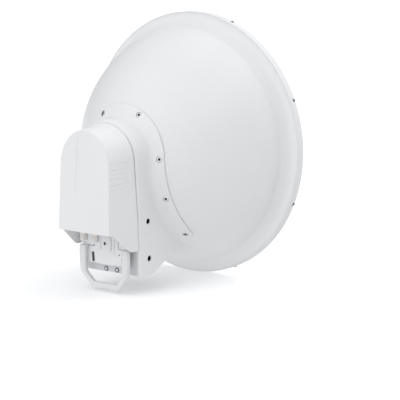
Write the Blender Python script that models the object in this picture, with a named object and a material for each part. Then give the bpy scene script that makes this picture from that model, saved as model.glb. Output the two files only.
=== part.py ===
"""Microwave dish antenna: a 650 mm dish with its rear radio, cover, mount housing and carrying handle.

Shapes are written in the dish's own frame: the origin is the centre of the rim's front plane, +Y is the
boresight, +X is to the right seen from behind and +Z is up. One empty then carries everything, so that the
part's origin lies on the outer face of the right side wall, between its two bracket holes.
"""
import math

import bmesh
import bpy
from mathutils import Matrix, Vector

# Driving dimensions, metres
RIM_RADIUS = 0.325
GAP = 0.0003
SKIN = 0.003

# Reflector: a deep bowl, and the rolled rim around it
BOWL_RADIUS = 0.2898
BOWL_SHOULDER = 0.0497
BOWL_DEPTH = 0.2622
BOWL_EXPONENT = 1 / 1.4
VALLEY_RADIUS = 0.3030
VALLEY_Y = -0.0225
BEAD_HEIGHT = 0.0047
RIM_FRONT_Y = -0.0035
BOWL_HOLE_RADIUS = 0.0300
BOWL_SEGMENTS = 72

# Radome
BAND_DEPTH = 0.0234
RADOME_RISE = 0.035
RADOME_EDGE = 0.004

# Mount housing: an arch with straight sides, swept round the neck and the flange
WALL_HALF = 0.0915
WALL_SKIN = 0.0033
WALL_LIP = 0.0105
WALL_LIP_SKIN = 0.0040
WALL_CORNER = 0.0050
NECK_SPRING = -0.002
FILLET_HEIGHT = 0.013
FILLET_HALF = 0.0945
FILLET_END_HALF = 0.1005
FLANGE_HALF = 0.1225
FLANGE_SPLAY = 0.028
FLANGE_SKIN = 0.0040
FLANGE_LOWER_Z = -0.196
ARCH_STEPS = 24
SIDE_STEPS = 7

# The seam between cover and housing leans, and so does the cover's rear face
SEAM_Y = -0.3440
SEAM_LEAN = -0.055
COVER_REAR_Y = -0.4251
COVER_REAR_LEAN = 0.0312

# Lower free edge of the housing: a rounded rear corner, a level stretch, then a slope up to the bowl
WALL_BOTTOM_Z = -0.2817
WALL_CORNER_START_Y = -0.308
WALL_CORNER_RUN = 0.0207
WALL_CORNER_RISE = 0.0055
WALL_SLOPE_START_Y = -0.296
WALL_SLOPE = 0.51
WALL_SLOPE_SOFTNESS = 0.008
REAR_PLATE_BOTTOM_Z = -0.278
REAR_PLATE_SKIN = 0.004

# Bracket holes in the side walls: height and depth of each
BRACKET_HOLES = {"upper": (-0.302, -0.148), "lower": (-0.298, -0.238)}
INSERT_RADIUS = 0.0066
INSERT_BORE_RADIUS = 0.0050
INSERT_LENGTH = 0.010
INSERT_RECESS = 0.0016
MOUNT_Y = -0.300
MOUNT_Z = -0.193

# Radio cover: a flattened arch with splayed sides, wider and lower at the seam than at its rear face
COVER_FRONT_HALF = 0.0844
COVER_FRONT_RISE = 0.0826
COVER_FRONT_SPRING = -0.0005
COVER_REAR_HALF = 0.0764
COVER_REAR_RISE = 0.0877
COVER_REAR_SPRING = -0.0125
COVER_SPLAY = 0.024
COVER_LIP = 0.0015
COVER_SKIN = 0.0030
COVER_BOTTOM_REAR_Z = -0.1665
COVER_BOTTOM_FRONT_Z = -0.2150
COVER_SLOPE_START = 0.14
COVER_SLOPE_END = 0.74
COVER_CORNER_Z = -0.2075
COVER_ROUND = 0.004
LIP_START = 0.775
LIP_FULL = 0.795
CORNER_START = 0.93
GASKET_INSET = 0.0012
GASKET_WIDTH = 0.0025
GASKET_SKIN = 0.0012

# Radio body and what hangs under it
BODY_CLEARANCE = 0.0020
BODY_REAR_SHARE = 0.09
BODY_BOTTOM_Z = -0.1660
CONNECTOR_X = 0.0179
CONNECTOR_Y = -0.4075
CONNECTOR_RADIUS = 0.0098
CONNECTOR_BORE_RADIUS = 0.0072
CONNECTOR_LENGTH = 0.0240
CONNECTOR_SOCKET_DEPTH = 0.0072
NUT_RADIUS = 0.0135
NUT_HEIGHT = 0.0040
NUT_SIDES = 6

# Port panel and door
PANEL_REAR_Y = -0.3490
PANEL_HALF = 0.0745
PANEL_SHOULDER_Z = -0.2330
PANEL_FOOT_TOP_Z = -0.2380
PANEL_FOOT_HALF = 0.0600
PANEL_BOTTOM_Z = -0.2565
DOOR_X = 0.0052
DOOR_HALF = 0.0203
DOOR_TOP_Z = -0.1720
DOOR_BOTTOM_Z = -0.2305
DOOR_SKIN = 0.0012
PLUG_X = 0.0122
PLUG_Z = -0.2055
PLUG_HALF = 0.0046
PLUG_HEIGHT = 0.0320
PLUG_RISE = 0.0012
INDICATOR_X = -0.0031
INDICATOR_Z = -0.2058
INDICATOR_WIDTH = 0.0050
INDICATOR_HEIGHT = 0.0070
TRIM_SKIN = 0.0006
LATCH_X = -0.0410
LATCH_Z = -0.2415
LATCH_WIDTH = 0.0070
LATCH_HEIGHT = 0.0225
LATCH_TILT = math.radians(4)

# Handle: a loop whose arms are upright on the panel, and which leans forward below the knees
HANDLE_REAR_Y = -0.3615
HANDLE_DEPTH = 0.0122
HANDLE_LEAN = 0.145
HANDLE_TOP_Z = -0.2165
HANDLE_TOP_HALF = 0.0757
HANDLE_BULGE = (0.0768, -0.2430)
HANDLE_KNEE = (0.0742, -0.2778)
HANDLE_FOOT = (0.0362, -0.3228)
HANDLE_GRIP_HALF = 0.0300
HANDLE_GRIP_Z = -0.3170
HANDLE_GRIP_SAG = 0.0035
HANDLE_INNER_HALF = 0.0568
HANDLE_INNER_KNEE_Z = -0.2800
HANDLE_INNER_FOOT = (0.0354, -0.3025)
HANDLE_KNEE_ROUND = 0.008
HANDLE_FOOT_ROUND = 0.0022
HANDLE_INNER_KNEE_ROUND = 0.014
HANDLE_INNER_FOOT_ROUND = 0.006
HANDLE_EDGE = 0.0020
HANDLE_LEAN_START_Z = -0.2660
GRIP_SHARES = (0.66, 0.33, 0.0)
CORNER_STEPS = 3

# Captive screw bosses on the rear plate
BOSS_X = 0.0170
BOSS_Z = -0.2708
BOSS_RADIUS = 0.0056
BOSS_BORE_RADIUS = 0.0034
BOSS_HEIGHT = 0.0025

# Feed through the bowl's centre
HUB_RADIUS = 0.0520
HUB_REAR_Y = -0.3190
BOOM_RADIUS = 0.0160
BOOM_FLANGE_RADIUS = 0.0300
BOOM_FLANGE_SKIN = 0.0040
BOOM_FRONT_Y = -0.2500
HEAD_RADIUS = 0.0340
HEAD_DEPTH = 0.0260

ROUND_STEPS = 24


def clear_scene():
    for item in list(bpy.data.objects):
        bpy.data.objects.remove(item, do_unlink=True)


def material(name, colour, roughness, metallic=0.0):
    made = bpy.data.materials.new(name)
    made.use_nodes = True
    shader = made.node_tree.nodes["Principled BSDF"]
    shader.inputs["Base Color"].default_value = (*colour, 1.0)
    shader.inputs["Roughness"].default_value = roughness
    shader.inputs["Metallic"].default_value = metallic
    return made


WHITE = (0.80, 0.81, 0.82)
COOL_WHITE = (0.74, 0.75, 0.77)
DARK = (0.03, 0.03, 0.035)
STEEL = (0.55, 0.55, 0.56)
NICKEL = (0.62, 0.58, 0.50)


def add_object(name, bm, carrier, finish, smooth=35):
    """Close the mesh's normals outward, shade it, and hang it on the carrier."""
    bmesh.ops.recalc_face_normals(bm, faces=bm.faces)
    mesh = bpy.data.meshes.new(name)
    bm.to_mesh(mesh)
    bm.free()
    mesh.shade_smooth()
    mesh.set_sharp_from_angle(angle=math.radians(smooth))
    mesh.materials.append(finish)
    item = bpy.data.objects.new(name, mesh)
    bpy.context.scene.collection.objects.link(item)
    item.parent = carrier
    return item


def cut(item, cutters):
    """Subtract each cutter from the item, and leave the cutters out of the model."""
    for cutter in cutters:
        cutter.hide_render = True
        cutter.display_type = "WIRE"
        step = item.modifiers.new("cut_" + cutter.name, "BOOLEAN")
        step.operation = "DIFFERENCE"
        step.solver = "EXACT"
        step.object = cutter


def loft(loops):
    """A closed solid through closed loops of equal length, capped at both ends."""
    bm = bmesh.new()
    rings = [[bm.verts.new(point) for point in loop] for loop in loops]
    count = len(rings[0])
    for near, far in zip(rings, rings[1:]):
        for i in range(count):
            j = (i + 1) % count
            bm.faces.new((near[i], near[j], far[j], far[i]))
    caps = [bm.faces.new(rings[0]), bm.faces.new(rings[-1])]
    bmesh.ops.triangulate(bm, faces=caps)
    return bm


def turned(profile, segments):
    """A solid turned about the Y axis from a closed profile of (radius, y); radius 0 makes a pole."""
    bm = bmesh.new()
    rings = []
    for radius, y in profile:
        if radius == 0:
            rings.append([bm.verts.new((0, y, 0))])
            continue
        ring = []
        for i in range(segments):
            angle = 2 * math.pi * i / segments
            ring.append(bm.verts.new((radius * math.sin(angle), y, radius * math.cos(angle))))
        rings.append(ring)
    for k, near in enumerate(rings):
        far = rings[(k + 1) % len(rings)]
        if len(near) == 1 and len(far) == 1:
            continue
        for i in range(segments):
            j = (i + 1) % segments
            if len(near) == 1:
                bm.faces.new((near[0], far[j], far[i]))
            elif len(far) == 1:
                bm.faces.new((near[i], near[j], far[0]))
            else:
                bm.faces.new((near[i], near[j], far[j], far[i]))
    return bm


def prism(outline, y_rear, y_front):
    """An outline of (x, z) points carried from one y to another; each y is a number or a function of z."""
    rear = y_rear if callable(y_rear) else (lambda z: y_rear)
    front = y_front if callable(y_front) else (lambda z: y_front)
    return loft([[(x, rear(z), z) for x, z in outline], [(x, front(z), z) for x, z in outline]])


def along(bm, axis):
    """Turn a solid of revolution from the Y axis to another axis."""
    if axis == "X":
        bm.transform(Matrix.Rotation(-math.pi / 2, 4, "Z"))
    elif axis == "Z":
        bm.transform(Matrix.Rotation(math.pi / 2, 4, "X"))
    return bm


def rounded_corner(before, corner, after, radius, steps):
    """Points on the arc that rounds a corner of a flat outline, from the first side to the second."""
    corner = Vector(corner)
    back = (Vector(before) - corner).normalized()
    ahead = (Vector(after) - corner).normalized()
    half_angle = back.angle(ahead) / 2
    centre = corner + (back + ahead).normalized() * (radius / math.sin(half_angle))
    start = corner + back * (radius / math.tan(half_angle)) - centre
    sweep = math.pi - 2 * half_angle
    turn = 1 if back.x * ahead.y - back.y * ahead.x < 0 else -1
    points = []
    for i in range(steps + 1):
        angle = turn * sweep * i / steps
        x = start.x * math.cos(angle) - start.y * math.sin(angle)
        y = start.x * math.sin(angle) + start.y * math.cos(angle)
        points.append((centre.x + x, centre.y + y))
    return points


def bowl_back_y(radius):
    """The reflector's back surface: a deep bowl with steep shoulders."""
    share = min(radius / BOWL_RADIUS, 1.0)
    return -(BOWL_SHOULDER + BOWL_DEPTH * (1 - share ** 2) ** BOWL_EXPONENT)


def seam_y(z):
    return SEAM_Y + SEAM_LEAN * z


def bowl_profile(steps, fillet_steps):
    """The back of the bowl from its centre hole to the valley beside the rim, as (radius, y)."""
    first = math.asin(BOWL_HOLE_RADIUS / BOWL_RADIUS)
    points = []
    for i in range(steps + 1):
        angle = first + (math.pi / 2 - first) * i / steps
        radius = BOWL_RADIUS * math.sin(angle)
        points.append((radius, bowl_back_y(radius)))
    for i in range(1, fillet_steps + 1):
        angle = math.pi / 2 * i / fillet_steps
        radius = BOWL_RADIUS + (VALLEY_RADIUS - BOWL_RADIUS) * (1 - math.cos(angle))
        points.append((radius, -BOWL_SHOULDER + (VALLEY_Y + BOWL_SHOULDER) * math.sin(angle)))
    return points


def offset_profile(points, distance):
    """Shift an open profile sideways, towards the front and the axis."""
    shifted = []
    for i, (radius, y) in enumerate(points):
        before = Vector(points[max(i - 1, 0)])
        after = Vector(points[min(i + 1, len(points) - 1)])
        run = (after - before).normalized()
        shifted.append((radius - run.y * distance, y + run.x * distance))
    return shifted


def back_profile():
    return bowl_profile(13, 3)


def make_bowl_envelope(carrier, finish):
    """A cutter one gap larger than the back of the reflector, for what seats on it."""
    back = offset_profile(back_profile(), -GAP)
    solid = turned([(0, back[0][1])] + back + [(back[-1][0], 0), (0, 0)], BOWL_SEGMENTS)
    return add_object("bowl_envelope", solid, carrier, finish)


def make_reflector(carrier, finish):
    """The bowl, up to the valley where the rim begins."""
    back = back_profile()
    front = offset_profile(bowl_profile(11, 2)[:-1], SKIN)
    front[0] = (BOWL_HOLE_RADIUS, front[0][1])
    edge = [(VALLEY_RADIUS, VALLEY_Y + SKIN)]
    return add_object("reflector", turned(back + edge + front[::-1], BOWL_SEGMENTS), carrier, finish)


def make_rim_ring(carrier, finish):
    """The rolled rim: a bead behind, and a short wall that carries the radome's band."""
    start = VALLEY_RADIUS + GAP
    edge = RIM_RADIUS - SKIN - GAP
    bead_steps = 5
    back = []
    for i in range(bead_steps + 1):
        share = i / bead_steps
        back.append((start + (edge - start) * share, VALLEY_Y - BEAD_HEIGHT * math.sin(math.pi * share)))
    inner_edge = edge - SKIN
    web = VALLEY_Y + SKIN
    front = [(edge, RIM_FRONT_Y), (inner_edge, RIM_FRONT_Y), (inner_edge, web), (start, web)]
    return add_object("rim_ring", turned(back + front, BOWL_SEGMENTS), carrier, finish)


def radome_dome(radius):
    """Height of the front dome: a flat arc that meets the band's edge."""
    return RADOME_RISE * (1 - (radius / (RIM_RADIUS - RADOME_EDGE)) ** 2)


def make_radome(carrier, finish):
    shares = (0.2, 0.4, 0.6, 0.8, 0.94, 1.0)
    dome_edge = RIM_RADIUS - RADOME_EDGE
    outer = [(0, RADOME_RISE)]
    outer += [(dome_edge * share, radome_dome(dome_edge * share)) for share in shares]
    corner = [(RIM_RADIUS - RADOME_EDGE / 4, -RADOME_EDGE / 4), (RIM_RADIUS, -RADOME_EDGE)]
    band = [(RIM_RADIUS, -BAND_DEPTH), (RIM_RADIUS - SKIN, -BAND_DEPTH), (RIM_RADIUS - SKIN, -SKIN)]
    inside = [(dome_edge * share, radome_dome(dome_edge * share) - SKIN) for share in shares[-2::-1]]
    profile = outer + corner + band + inside + [(0, RADOME_RISE - SKIN)]
    return add_object("radome", turned(profile, BOWL_SEGMENTS), carrier, finish)


def arch_point(half, spring, step, rise=None):
    """Point of the upper half of an arch: step runs from 0, the left spring, to ARCH_STEPS, the right."""
    angle = math.pi * (step / ARCH_STEPS - 0.5)
    return half * math.sin(angle), spring + (rise or half) * math.cos(angle)


def arch_outline(half, spring, bottom, rise=None, splay=0.0):
    """A closed outline: straight sides that may splay, a round top and a flat bottom."""
    foot = half + splay * (spring - bottom)
    points = [(-foot, bottom)]
    points += [arch_point(half, spring, step, rise) for step in range(ARCH_STEPS + 1)]
    points.append((foot, bottom))
    return points


def wall_bottom(y):
    """Height of the housing's free lower edge at a depth behind the rim."""
    corner = max(0.0, (WALL_CORNER_START_Y - y) / WALL_CORNER_RUN)
    along_slope = y - WALL_SLOPE_START_Y
    climb = WALL_SLOPE * (along_slope + math.hypot(along_slope, WALL_SLOPE_SOFTNESS)) / 2
    return WALL_BOTTOM_Z + WALL_CORNER_RISE * corner ** 2 + climb


def lower_end(half, surface):
    """The height at which a line down the side, following a surface, reaches the free lower edge."""
    low, high = WALL_BOTTOM_Z, 0.0
    for _ in range(40):
        middle = (low + high) / 2
        if middle > wall_bottom(surface(half, middle)):
            high = middle
        else:
            low = middle
    return high


def on_bowl(height):
    """A surface that stands a fixed height off the back of the bowl."""
    return lambda x, z: bowl_back_y(math.hypot(x, z)) - height


def behind_seam(depth):
    """A surface that lies a fixed depth in front of the leaning seam."""
    return lambda x, z: seam_y(z) + depth


def between(near, far, share):
    return lambda x, z: near(x, z) + (far(x, z) - near(x, z)) * share


def housing_section():
    """Wall and flange in section: half width, spring height, splay, surface and lower end of each line."""
    neck = on_bowl(FLANGE_SKIN + FILLET_HEIGHT)
    foot = on_bowl(-FLANGE_SKIN)
    inner = WALL_HALF - WALL_SKIN
    lines = [(WALL_HALF - WALL_LIP, NECK_SPRING, behind_seam(0.0))]
    for angle in (0, 45, 90):
        turn = math.radians(angle)
        half = WALL_HALF - WALL_CORNER * (1 - math.sin(turn))
        lines.append((half, NECK_SPRING, behind_seam(WALL_CORNER * (1 - math.cos(turn)))))
    shares = (0.25, 0.5, 0.75)
    for share in shares:
        lines.append((WALL_HALF, NECK_SPRING, between(behind_seam(WALL_CORNER), neck, share)))
    lines += [
        (WALL_HALF, NECK_SPRING, neck),
        (FILLET_HALF, 0.0, on_bowl(FLANGE_SKIN + FILLET_HEIGHT * 0.38)),
        (FILLET_END_HALF, 0.0, on_bowl(FLANGE_SKIN + GAP)),
        (FLANGE_HALF, 0.0, on_bowl(FLANGE_SKIN + GAP)),
        (FLANGE_HALF, 0.0, foot),
        (inner, NECK_SPRING, foot),
    ]
    lip_end = WALL_LIP_SKIN + WALL_LIP - WALL_SKIN
    for share in shares[::-1]:
        lines.append((inner, NECK_SPRING, between(behind_seam(lip_end), neck, share)))
    lines += [
        (inner, NECK_SPRING, behind_seam(lip_end)),
        (WALL_HALF - WALL_LIP, NECK_SPRING, behind_seam(WALL_LIP_SKIN)),
    ]
    section = []
    for half, spring, surface in lines:
        flange = half == FLANGE_HALF
        end = FLANGE_LOWER_Z if flange else lower_end(half, surface)
        section.append((half, spring, FLANGE_SPLAY if flange else 0.0, surface, end))
    return section


def housing_loops():
    """The section at each step along the arch, from the left wall's foot over the top to the right wall's."""
    section = housing_section()

    def side_loop(side, step):
        loop = []
        for half, spring, splay, surface, end in section:
            z = spring + (end - spring) * step / SIDE_STEPS
            x = half + splay * (spring - z)
            loop.append((side * x, surface(x, z), z))
        return loop

    def arch_loop(step):
        loop = []
        for half, spring, _, surface, _ in section:
            x, z = arch_point(half, spring, step)
            loop.append((x, surface(x, z), z))
        return loop

    left = [side_loop(-1, step) for step in range(SIDE_STEPS, 0, -1)]
    top = [arch_loop(step) for step in range(ARCH_STEPS + 1)]
    right = [side_loop(1, step) for step in range(1, SIDE_STEPS + 1)]
    return left + top + right


def bracket_positions():
    for side_name, side in (("right", 1), ("left", -1)):
        for level, (y, z) in BRACKET_HOLES.items():
            yield side_name + "_" + level, side, y, z


def make_housing(carrier, finish, insert_finish, envelope):
    shell = add_object("housing_shell", loft(housing_loops()), carrier, finish, smooth=28)
    cutters = [envelope]
    for name, side, y, z in bracket_positions():
        reach = 2 * INSERT_LENGTH
        hole = INSERT_RADIUS + GAP
        bore = along(turned([(0, -reach), (hole, -reach), (hole, reach), (0, reach)], ROUND_STEPS), "X")
        cutter = add_object("bracket_hole_" + name, bore, carrier, finish)
        cutter.location = (side * WALL_HALF, y, z)
        cutters.append(cutter)
        ring = [(INSERT_RADIUS, INSERT_RECESS), (INSERT_RADIUS, INSERT_LENGTH),
                (INSERT_BORE_RADIUS, INSERT_LENGTH), (INSERT_BORE_RADIUS, INSERT_RECESS)]
        insert = along(turned(ring, ROUND_STEPS), "X")
        if side > 0:
            insert.transform(Matrix.Rotation(math.pi, 4, "Z"))
        bush = add_object("bracket_insert_" + name, insert, carrier, insert_finish)
        bush.location = (side * WALL_HALF, y, z)
    cut(shell, cutters)
    return shell


def make_rear_plate(carrier, finish):
    half = WALL_HALF - WALL_LIP - GAP
    outline = arch_outline(half, NECK_SPRING, REAR_PLATE_BOTTOM_Z)
    plate = prism(outline, seam_y, behind_plate)
    made = add_object("housing_rear_plate", plate, carrier, finish)
    hole = BOOM_RADIUS + GAP
    near = seam_y(0) - SKIN * 3
    far = seam_y(0) + SKIN * 3
    bore = turned([(0, near), (hole, near), (hole, far), (0, far)], ROUND_STEPS)
    cut(made, [add_object("feed_hole", bore, carrier, finish)])
    return made


def behind_plate(z):
    return seam_y(z) + REAR_PLATE_SKIN


def cover_rear_y(z):
    return COVER_REAR_Y + COVER_REAR_LEAN * z


def cover_outline(share, inset, bottom):
    """The cover's outline at a share of its depth, from 0 at the rear face to 1 at the seam."""
    half = COVER_REAR_HALF + (COVER_FRONT_HALF - COVER_REAR_HALF) * share
    rise = COVER_REAR_RISE + (COVER_FRONT_RISE - COVER_REAR_RISE) * share
    spring = COVER_REAR_SPRING + (COVER_FRONT_SPRING - COVER_REAR_SPRING) * share
    return arch_outline(half - inset, spring, bottom, rise - inset, COVER_SPLAY)


def cover_loop(share, inset, bottom):
    """The same outline, set between the leaning rear face and the leaning seam."""
    points = []
    for x, z in cover_outline(share, inset, bottom):
        rear = cover_rear_y(z)
        points.append((x, rear + (seam_y(z) - GASKET_SKIN - rear) * share, z))
    return points


def cover_bottom(share):
    """Height of the cover's lower edge: level behind, then a slope, then level again at the seam."""
    slope_share = (share - COVER_SLOPE_START) / (COVER_SLOPE_END - COVER_SLOPE_START)
    fall = COVER_BOTTOM_FRONT_Z - COVER_BOTTOM_REAR_Z
    return COVER_BOTTOM_REAR_Z + fall * min(max(slope_share, 0.0), 1.0)


def make_cover(carrier, finish):
    depth = SEAM_Y - COVER_REAR_Y
    round_end = COVER_ROUND / depth
    shares = [(0.0, COVER_ROUND * 0.9), (round_end * 0.3, COVER_ROUND * 0.28), (round_end, 0.0),
              (COVER_SLOPE_START, 0.0), (COVER_SLOPE_END, 0.0),
              (LIP_START, 0.0), (LIP_FULL, -COVER_LIP), (CORNER_START, -COVER_LIP)]
    loops = [cover_loop(share, inset, cover_bottom(share)) for share, inset in shares]
    loops.append(cover_loop(1.0, -COVER_LIP, COVER_CORNER_Z))
    shell = add_object("radio_cover", loft(loops), carrier, finish, smooth=28)
    below = COVER_BOTTOM_FRONT_Z - COVER_SKIN
    past_seam = 1.2
    inner = [cover_loop(share, COVER_SKIN, below) for share in (COVER_SKIN / depth, LIP_START, past_seam)]
    cut(shell, [add_object("cover_hollow", loft(inner), carrier, finish)])
    return shell


def make_gasket(carrier, finish):
    """The dark seal between the cover's rim and the housing, down both sides and over the top."""
    bottom = COVER_CORNER_Z + SKIN
    outer = cover_outline(1.0, GASKET_INSET, bottom)
    inner = cover_outline(1.0, GASKET_INSET + GASKET_WIDTH, bottom)
    loops = []
    for out, within in zip(outer, inner):
        corners = ((out, GASKET_SKIN - GAP), (out, GAP), (within, GAP), (within, GASKET_SKIN - GAP))
        loops.append([(x, seam_y(z) - height, z) for (x, z), height in corners])
    return add_object("cover_gasket", loft(loops), carrier, finish)


def make_radio_body(carrier, finish):
    """The radio: a solid arch that follows the inside of its cover at an even distance."""
    inset = COVER_SKIN + BODY_CLEARANCE
    rear = cover_loop(BODY_REAR_SHARE, inset, BODY_BOTTOM_Z)
    front = [(x, seam_y(z) - GAP, z) for x, z in cover_outline(1.0, inset, BODY_BOTTOM_Z)]
    return add_object("radio_body", loft([rear, front]), carrier, finish)


def make_connectors(carrier, shell_finish, nut_finish):
    for name, side in (("left", -1), ("right", 1)):
        top = BODY_BOTTOM_Z - GAP
        hole = (CONNECTOR_RADIUS + GAP) / math.cos(math.pi / NUT_SIDES)
        nut = turned([(hole, 0), (NUT_RADIUS, 0), (NUT_RADIUS, NUT_HEIGHT), (hole, NUT_HEIGHT)], NUT_SIDES)
        made = add_object("connector_nut_" + name, along(nut, "Z"), carrier, nut_finish)
        made.location = (side * CONNECTOR_X, CONNECTOR_Y, top - NUT_HEIGHT)
        floor = CONNECTOR_SOCKET_DEPTH - CONNECTOR_LENGTH
        outside = [(0, 0), (CONNECTOR_RADIUS, 0), (CONNECTOR_RADIUS, -CONNECTOR_LENGTH)]
        socket = [(CONNECTOR_BORE_RADIUS, -CONNECTOR_LENGTH), (CONNECTOR_BORE_RADIUS, floor), (0, floor)]
        barrel = turned(outside + socket, ROUND_STEPS)
        made = add_object("connector_" + name, along(barrel, "Z"), carrier, shell_finish)
        made.location = (side * CONNECTOR_X, CONNECTOR_Y, top)


def make_port_panel(carrier, finish):
    shape = [(PANEL_HALF, BODY_BOTTOM_Z - GAP), (PANEL_HALF, PANEL_SHOULDER_Z),
             (PANEL_FOOT_HALF, PANEL_FOOT_TOP_Z), (PANEL_FOOT_HALF, PANEL_BOTTOM_Z)]
    outline = shape + [(-x, z) for x, z in shape[::-1]]
    panel = prism(outline, PANEL_REAR_Y, lambda z: seam_y(z) - GAP)
    return add_object("port_panel", panel, carrier, finish)


def rectangle(half_x, low_z, high_z, centre_x=0.0):
    return [(centre_x - half_x, low_z), (centre_x + half_x, low_z),
            (centre_x + half_x, high_z), (centre_x - half_x, high_z)]


def stadium(half, height):
    """An upright slot outline with round ends, centred on the origin."""
    straight = height / 2 - half
    points = []
    for end in (1, -1):
        for step in range(9):
            angle = math.pi * step / 8
            points.append((end * half * math.cos(angle), end * (straight + half * math.sin(angle))))
    return points


def make_port_door(carrier, finish, plug_finish, dark_finish):
    rear = PANEL_REAR_Y - GAP - DOOR_SKIN
    door = prism(rectangle(DOOR_HALF, DOOR_BOTTOM_Z, DOOR_TOP_Z, DOOR_X), rear, PANEL_REAR_Y - GAP)
    add_object("port_door", door, carrier, finish)
    outline = [(PLUG_X + x, PLUG_Z + z) for x, z in stadium(PLUG_HALF, PLUG_HEIGHT)]
    plug = prism(outline, rear - GAP - PLUG_RISE, rear - GAP)
    add_object("data_port_plug", plug, carrier, plug_finish)
    window = rectangle(INDICATOR_WIDTH / 2, INDICATOR_Z - INDICATOR_HEIGHT / 2,
                       INDICATOR_Z + INDICATOR_HEIGHT / 2, INDICATOR_X)
    add_object("indicator_window", prism(window, rear - GAP - TRIM_SKIN, rear - GAP), carrier, dark_finish)
    slot = prism(rectangle(LATCH_WIDTH / 2, -LATCH_HEIGHT / 2, LATCH_HEIGHT / 2), -GAP - TRIM_SKIN, -GAP)
    slot.transform(Matrix.Rotation(-LATCH_TILT, 4, "Y"))
    latch = add_object("door_latch", slot, carrier, dark_finish)
    latch.location = (LATCH_X, PANEL_REAR_Y, LATCH_Z)


def handle_lines():
    """Half of the loop from its arm's top to the middle of the grip: outer line, and inner line to match."""
    top = (HANDLE_TOP_HALF, HANDLE_TOP_Z)
    grip_end = (HANDLE_GRIP_HALF, HANDLE_GRIP_Z - HANDLE_GRIP_SAG)
    lean_share = (HANDLE_LEAN_START_Z - HANDLE_BULGE[1]) / (HANDLE_KNEE[1] - HANDLE_BULGE[1])
    lean_half = HANDLE_BULGE[0] + (HANDLE_KNEE[0] - HANDLE_BULGE[0]) * lean_share
    outer = [top, HANDLE_BULGE, (lean_half, HANDLE_LEAN_START_Z)]
    outer += rounded_corner(HANDLE_BULGE, HANDLE_KNEE, HANDLE_FOOT, HANDLE_KNEE_ROUND, CORNER_STEPS)
    outer += rounded_corner(HANDLE_KNEE, HANDLE_FOOT, grip_end, HANDLE_FOOT_ROUND, CORNER_STEPS)
    inner_knee = (HANDLE_INNER_HALF, HANDLE_INNER_KNEE_Z)
    inner_end = (0.0, HANDLE_INNER_FOOT[1])
    inner_top = (HANDLE_INNER_HALF, HANDLE_TOP_Z)
    inner = [inner_top, (HANDLE_INNER_HALF, HANDLE_BULGE[1]), (HANDLE_INNER_HALF, HANDLE_LEAN_START_Z)]
    inner += rounded_corner(inner_top, inner_knee, HANDLE_INNER_FOOT, HANDLE_INNER_KNEE_ROUND, CORNER_STEPS)
    inner += rounded_corner(inner_knee, HANDLE_INNER_FOOT, inner_end, HANDLE_INNER_FOOT_ROUND, CORNER_STEPS)
    for share in GRIP_SHARES:
        outer.append((HANDLE_GRIP_HALF * share, HANDLE_GRIP_Z - HANDLE_GRIP_SAG * share ** 2))
        inner.append((HANDLE_INNER_FOOT[0] * share * 0.8, HANDLE_INNER_FOOT[1]))
    return outer, inner


def handle_rear_y(z):
    """The loop's rear face: upright beside the panel, leaning forward below it."""
    return HANDLE_REAR_Y + HANDLE_LEAN * max(0.0, HANDLE_LEAN_START_Z - z)


def make_handle(carrier, finish):
    outer, inner = handle_lines()
    half = []
    for out, within in zip(outer, inner):
        corners = []
        for (x, z), depth in ((out, 0), (out, HANDLE_DEPTH), (within, HANDLE_DEPTH), (within, 0)):
            corners.append((x, handle_rear_y(z) + depth, z))
        half.append(corners)
    mirrored = [[(-x, y, z) for x, y, z in loop] for loop in half[-2::-1]]
    made = add_object("handle", loft(half + mirrored), carrier, finish)
    edge = made.modifiers.new("edge", "BEVEL")
    edge.width = HANDLE_EDGE
    edge.segments = 2
    edge.limit_method = "ANGLE"
    edge.angle_limit = math.radians(60)
    return made


def make_bosses(carrier, finish):
    for name, side in (("left", -1), ("right", 1)):
        ring = turned([(BOSS_BORE_RADIUS, -BOSS_HEIGHT), (BOSS_RADIUS, -BOSS_HEIGHT),
                       (BOSS_RADIUS, 0), (BOSS_BORE_RADIUS, 0)], ROUND_STEPS)
        boss = add_object("captive_boss_" + name, ring, carrier, finish)
        boss.location = (side * BOSS_X, seam_y(BOSS_Z) - GAP, BOSS_Z)
        boss.rotation_euler = (math.atan(-SEAM_LEAN), 0, 0)


def make_feed(carrier, boom_finish, head_finish, hub_finish, envelope):
    plate_front = behind_plate(-BOOM_FLANGE_RADIUS) + GAP
    start = seam_y(-BOOM_RADIUS) + GAP
    flange_front = plate_front + BOOM_FLANGE_SKIN
    foot = [(0, start), (BOOM_RADIUS, start), (BOOM_RADIUS, plate_front)]
    flange = [(BOOM_FLANGE_RADIUS, plate_front), (BOOM_FLANGE_RADIUS, flange_front),
              (BOOM_RADIUS, flange_front)]
    tube = [(BOOM_RADIUS, BOOM_FRONT_Y), (0, BOOM_FRONT_Y)]
    add_object("feed_boom", turned(foot + flange + tube, ROUND_STEPS), carrier, boom_finish)
    head = turned([(0, BOOM_FRONT_Y + GAP), (BOOM_RADIUS * 0.8, BOOM_FRONT_Y + GAP),
                   (HEAD_RADIUS, BOOM_FRONT_Y + HEAD_DEPTH - SKIN), (HEAD_RADIUS, BOOM_FRONT_Y + HEAD_DEPTH),
                   (0, BOOM_FRONT_Y + HEAD_DEPTH)], ROUND_STEPS)
    add_object("feed_head", head, carrier, head_finish)
    inner = BOOM_RADIUS + GAP
    front = bowl_back_y(HUB_RADIUS) + SKIN
    ring = [(inner, HUB_REAR_Y), (inner, front), (HUB_RADIUS, front), (HUB_RADIUS, HUB_REAR_Y)]
    cut(add_object("hub_ring", turned(ring, ROUND_STEPS), carrier, hub_finish), [envelope])


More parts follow.
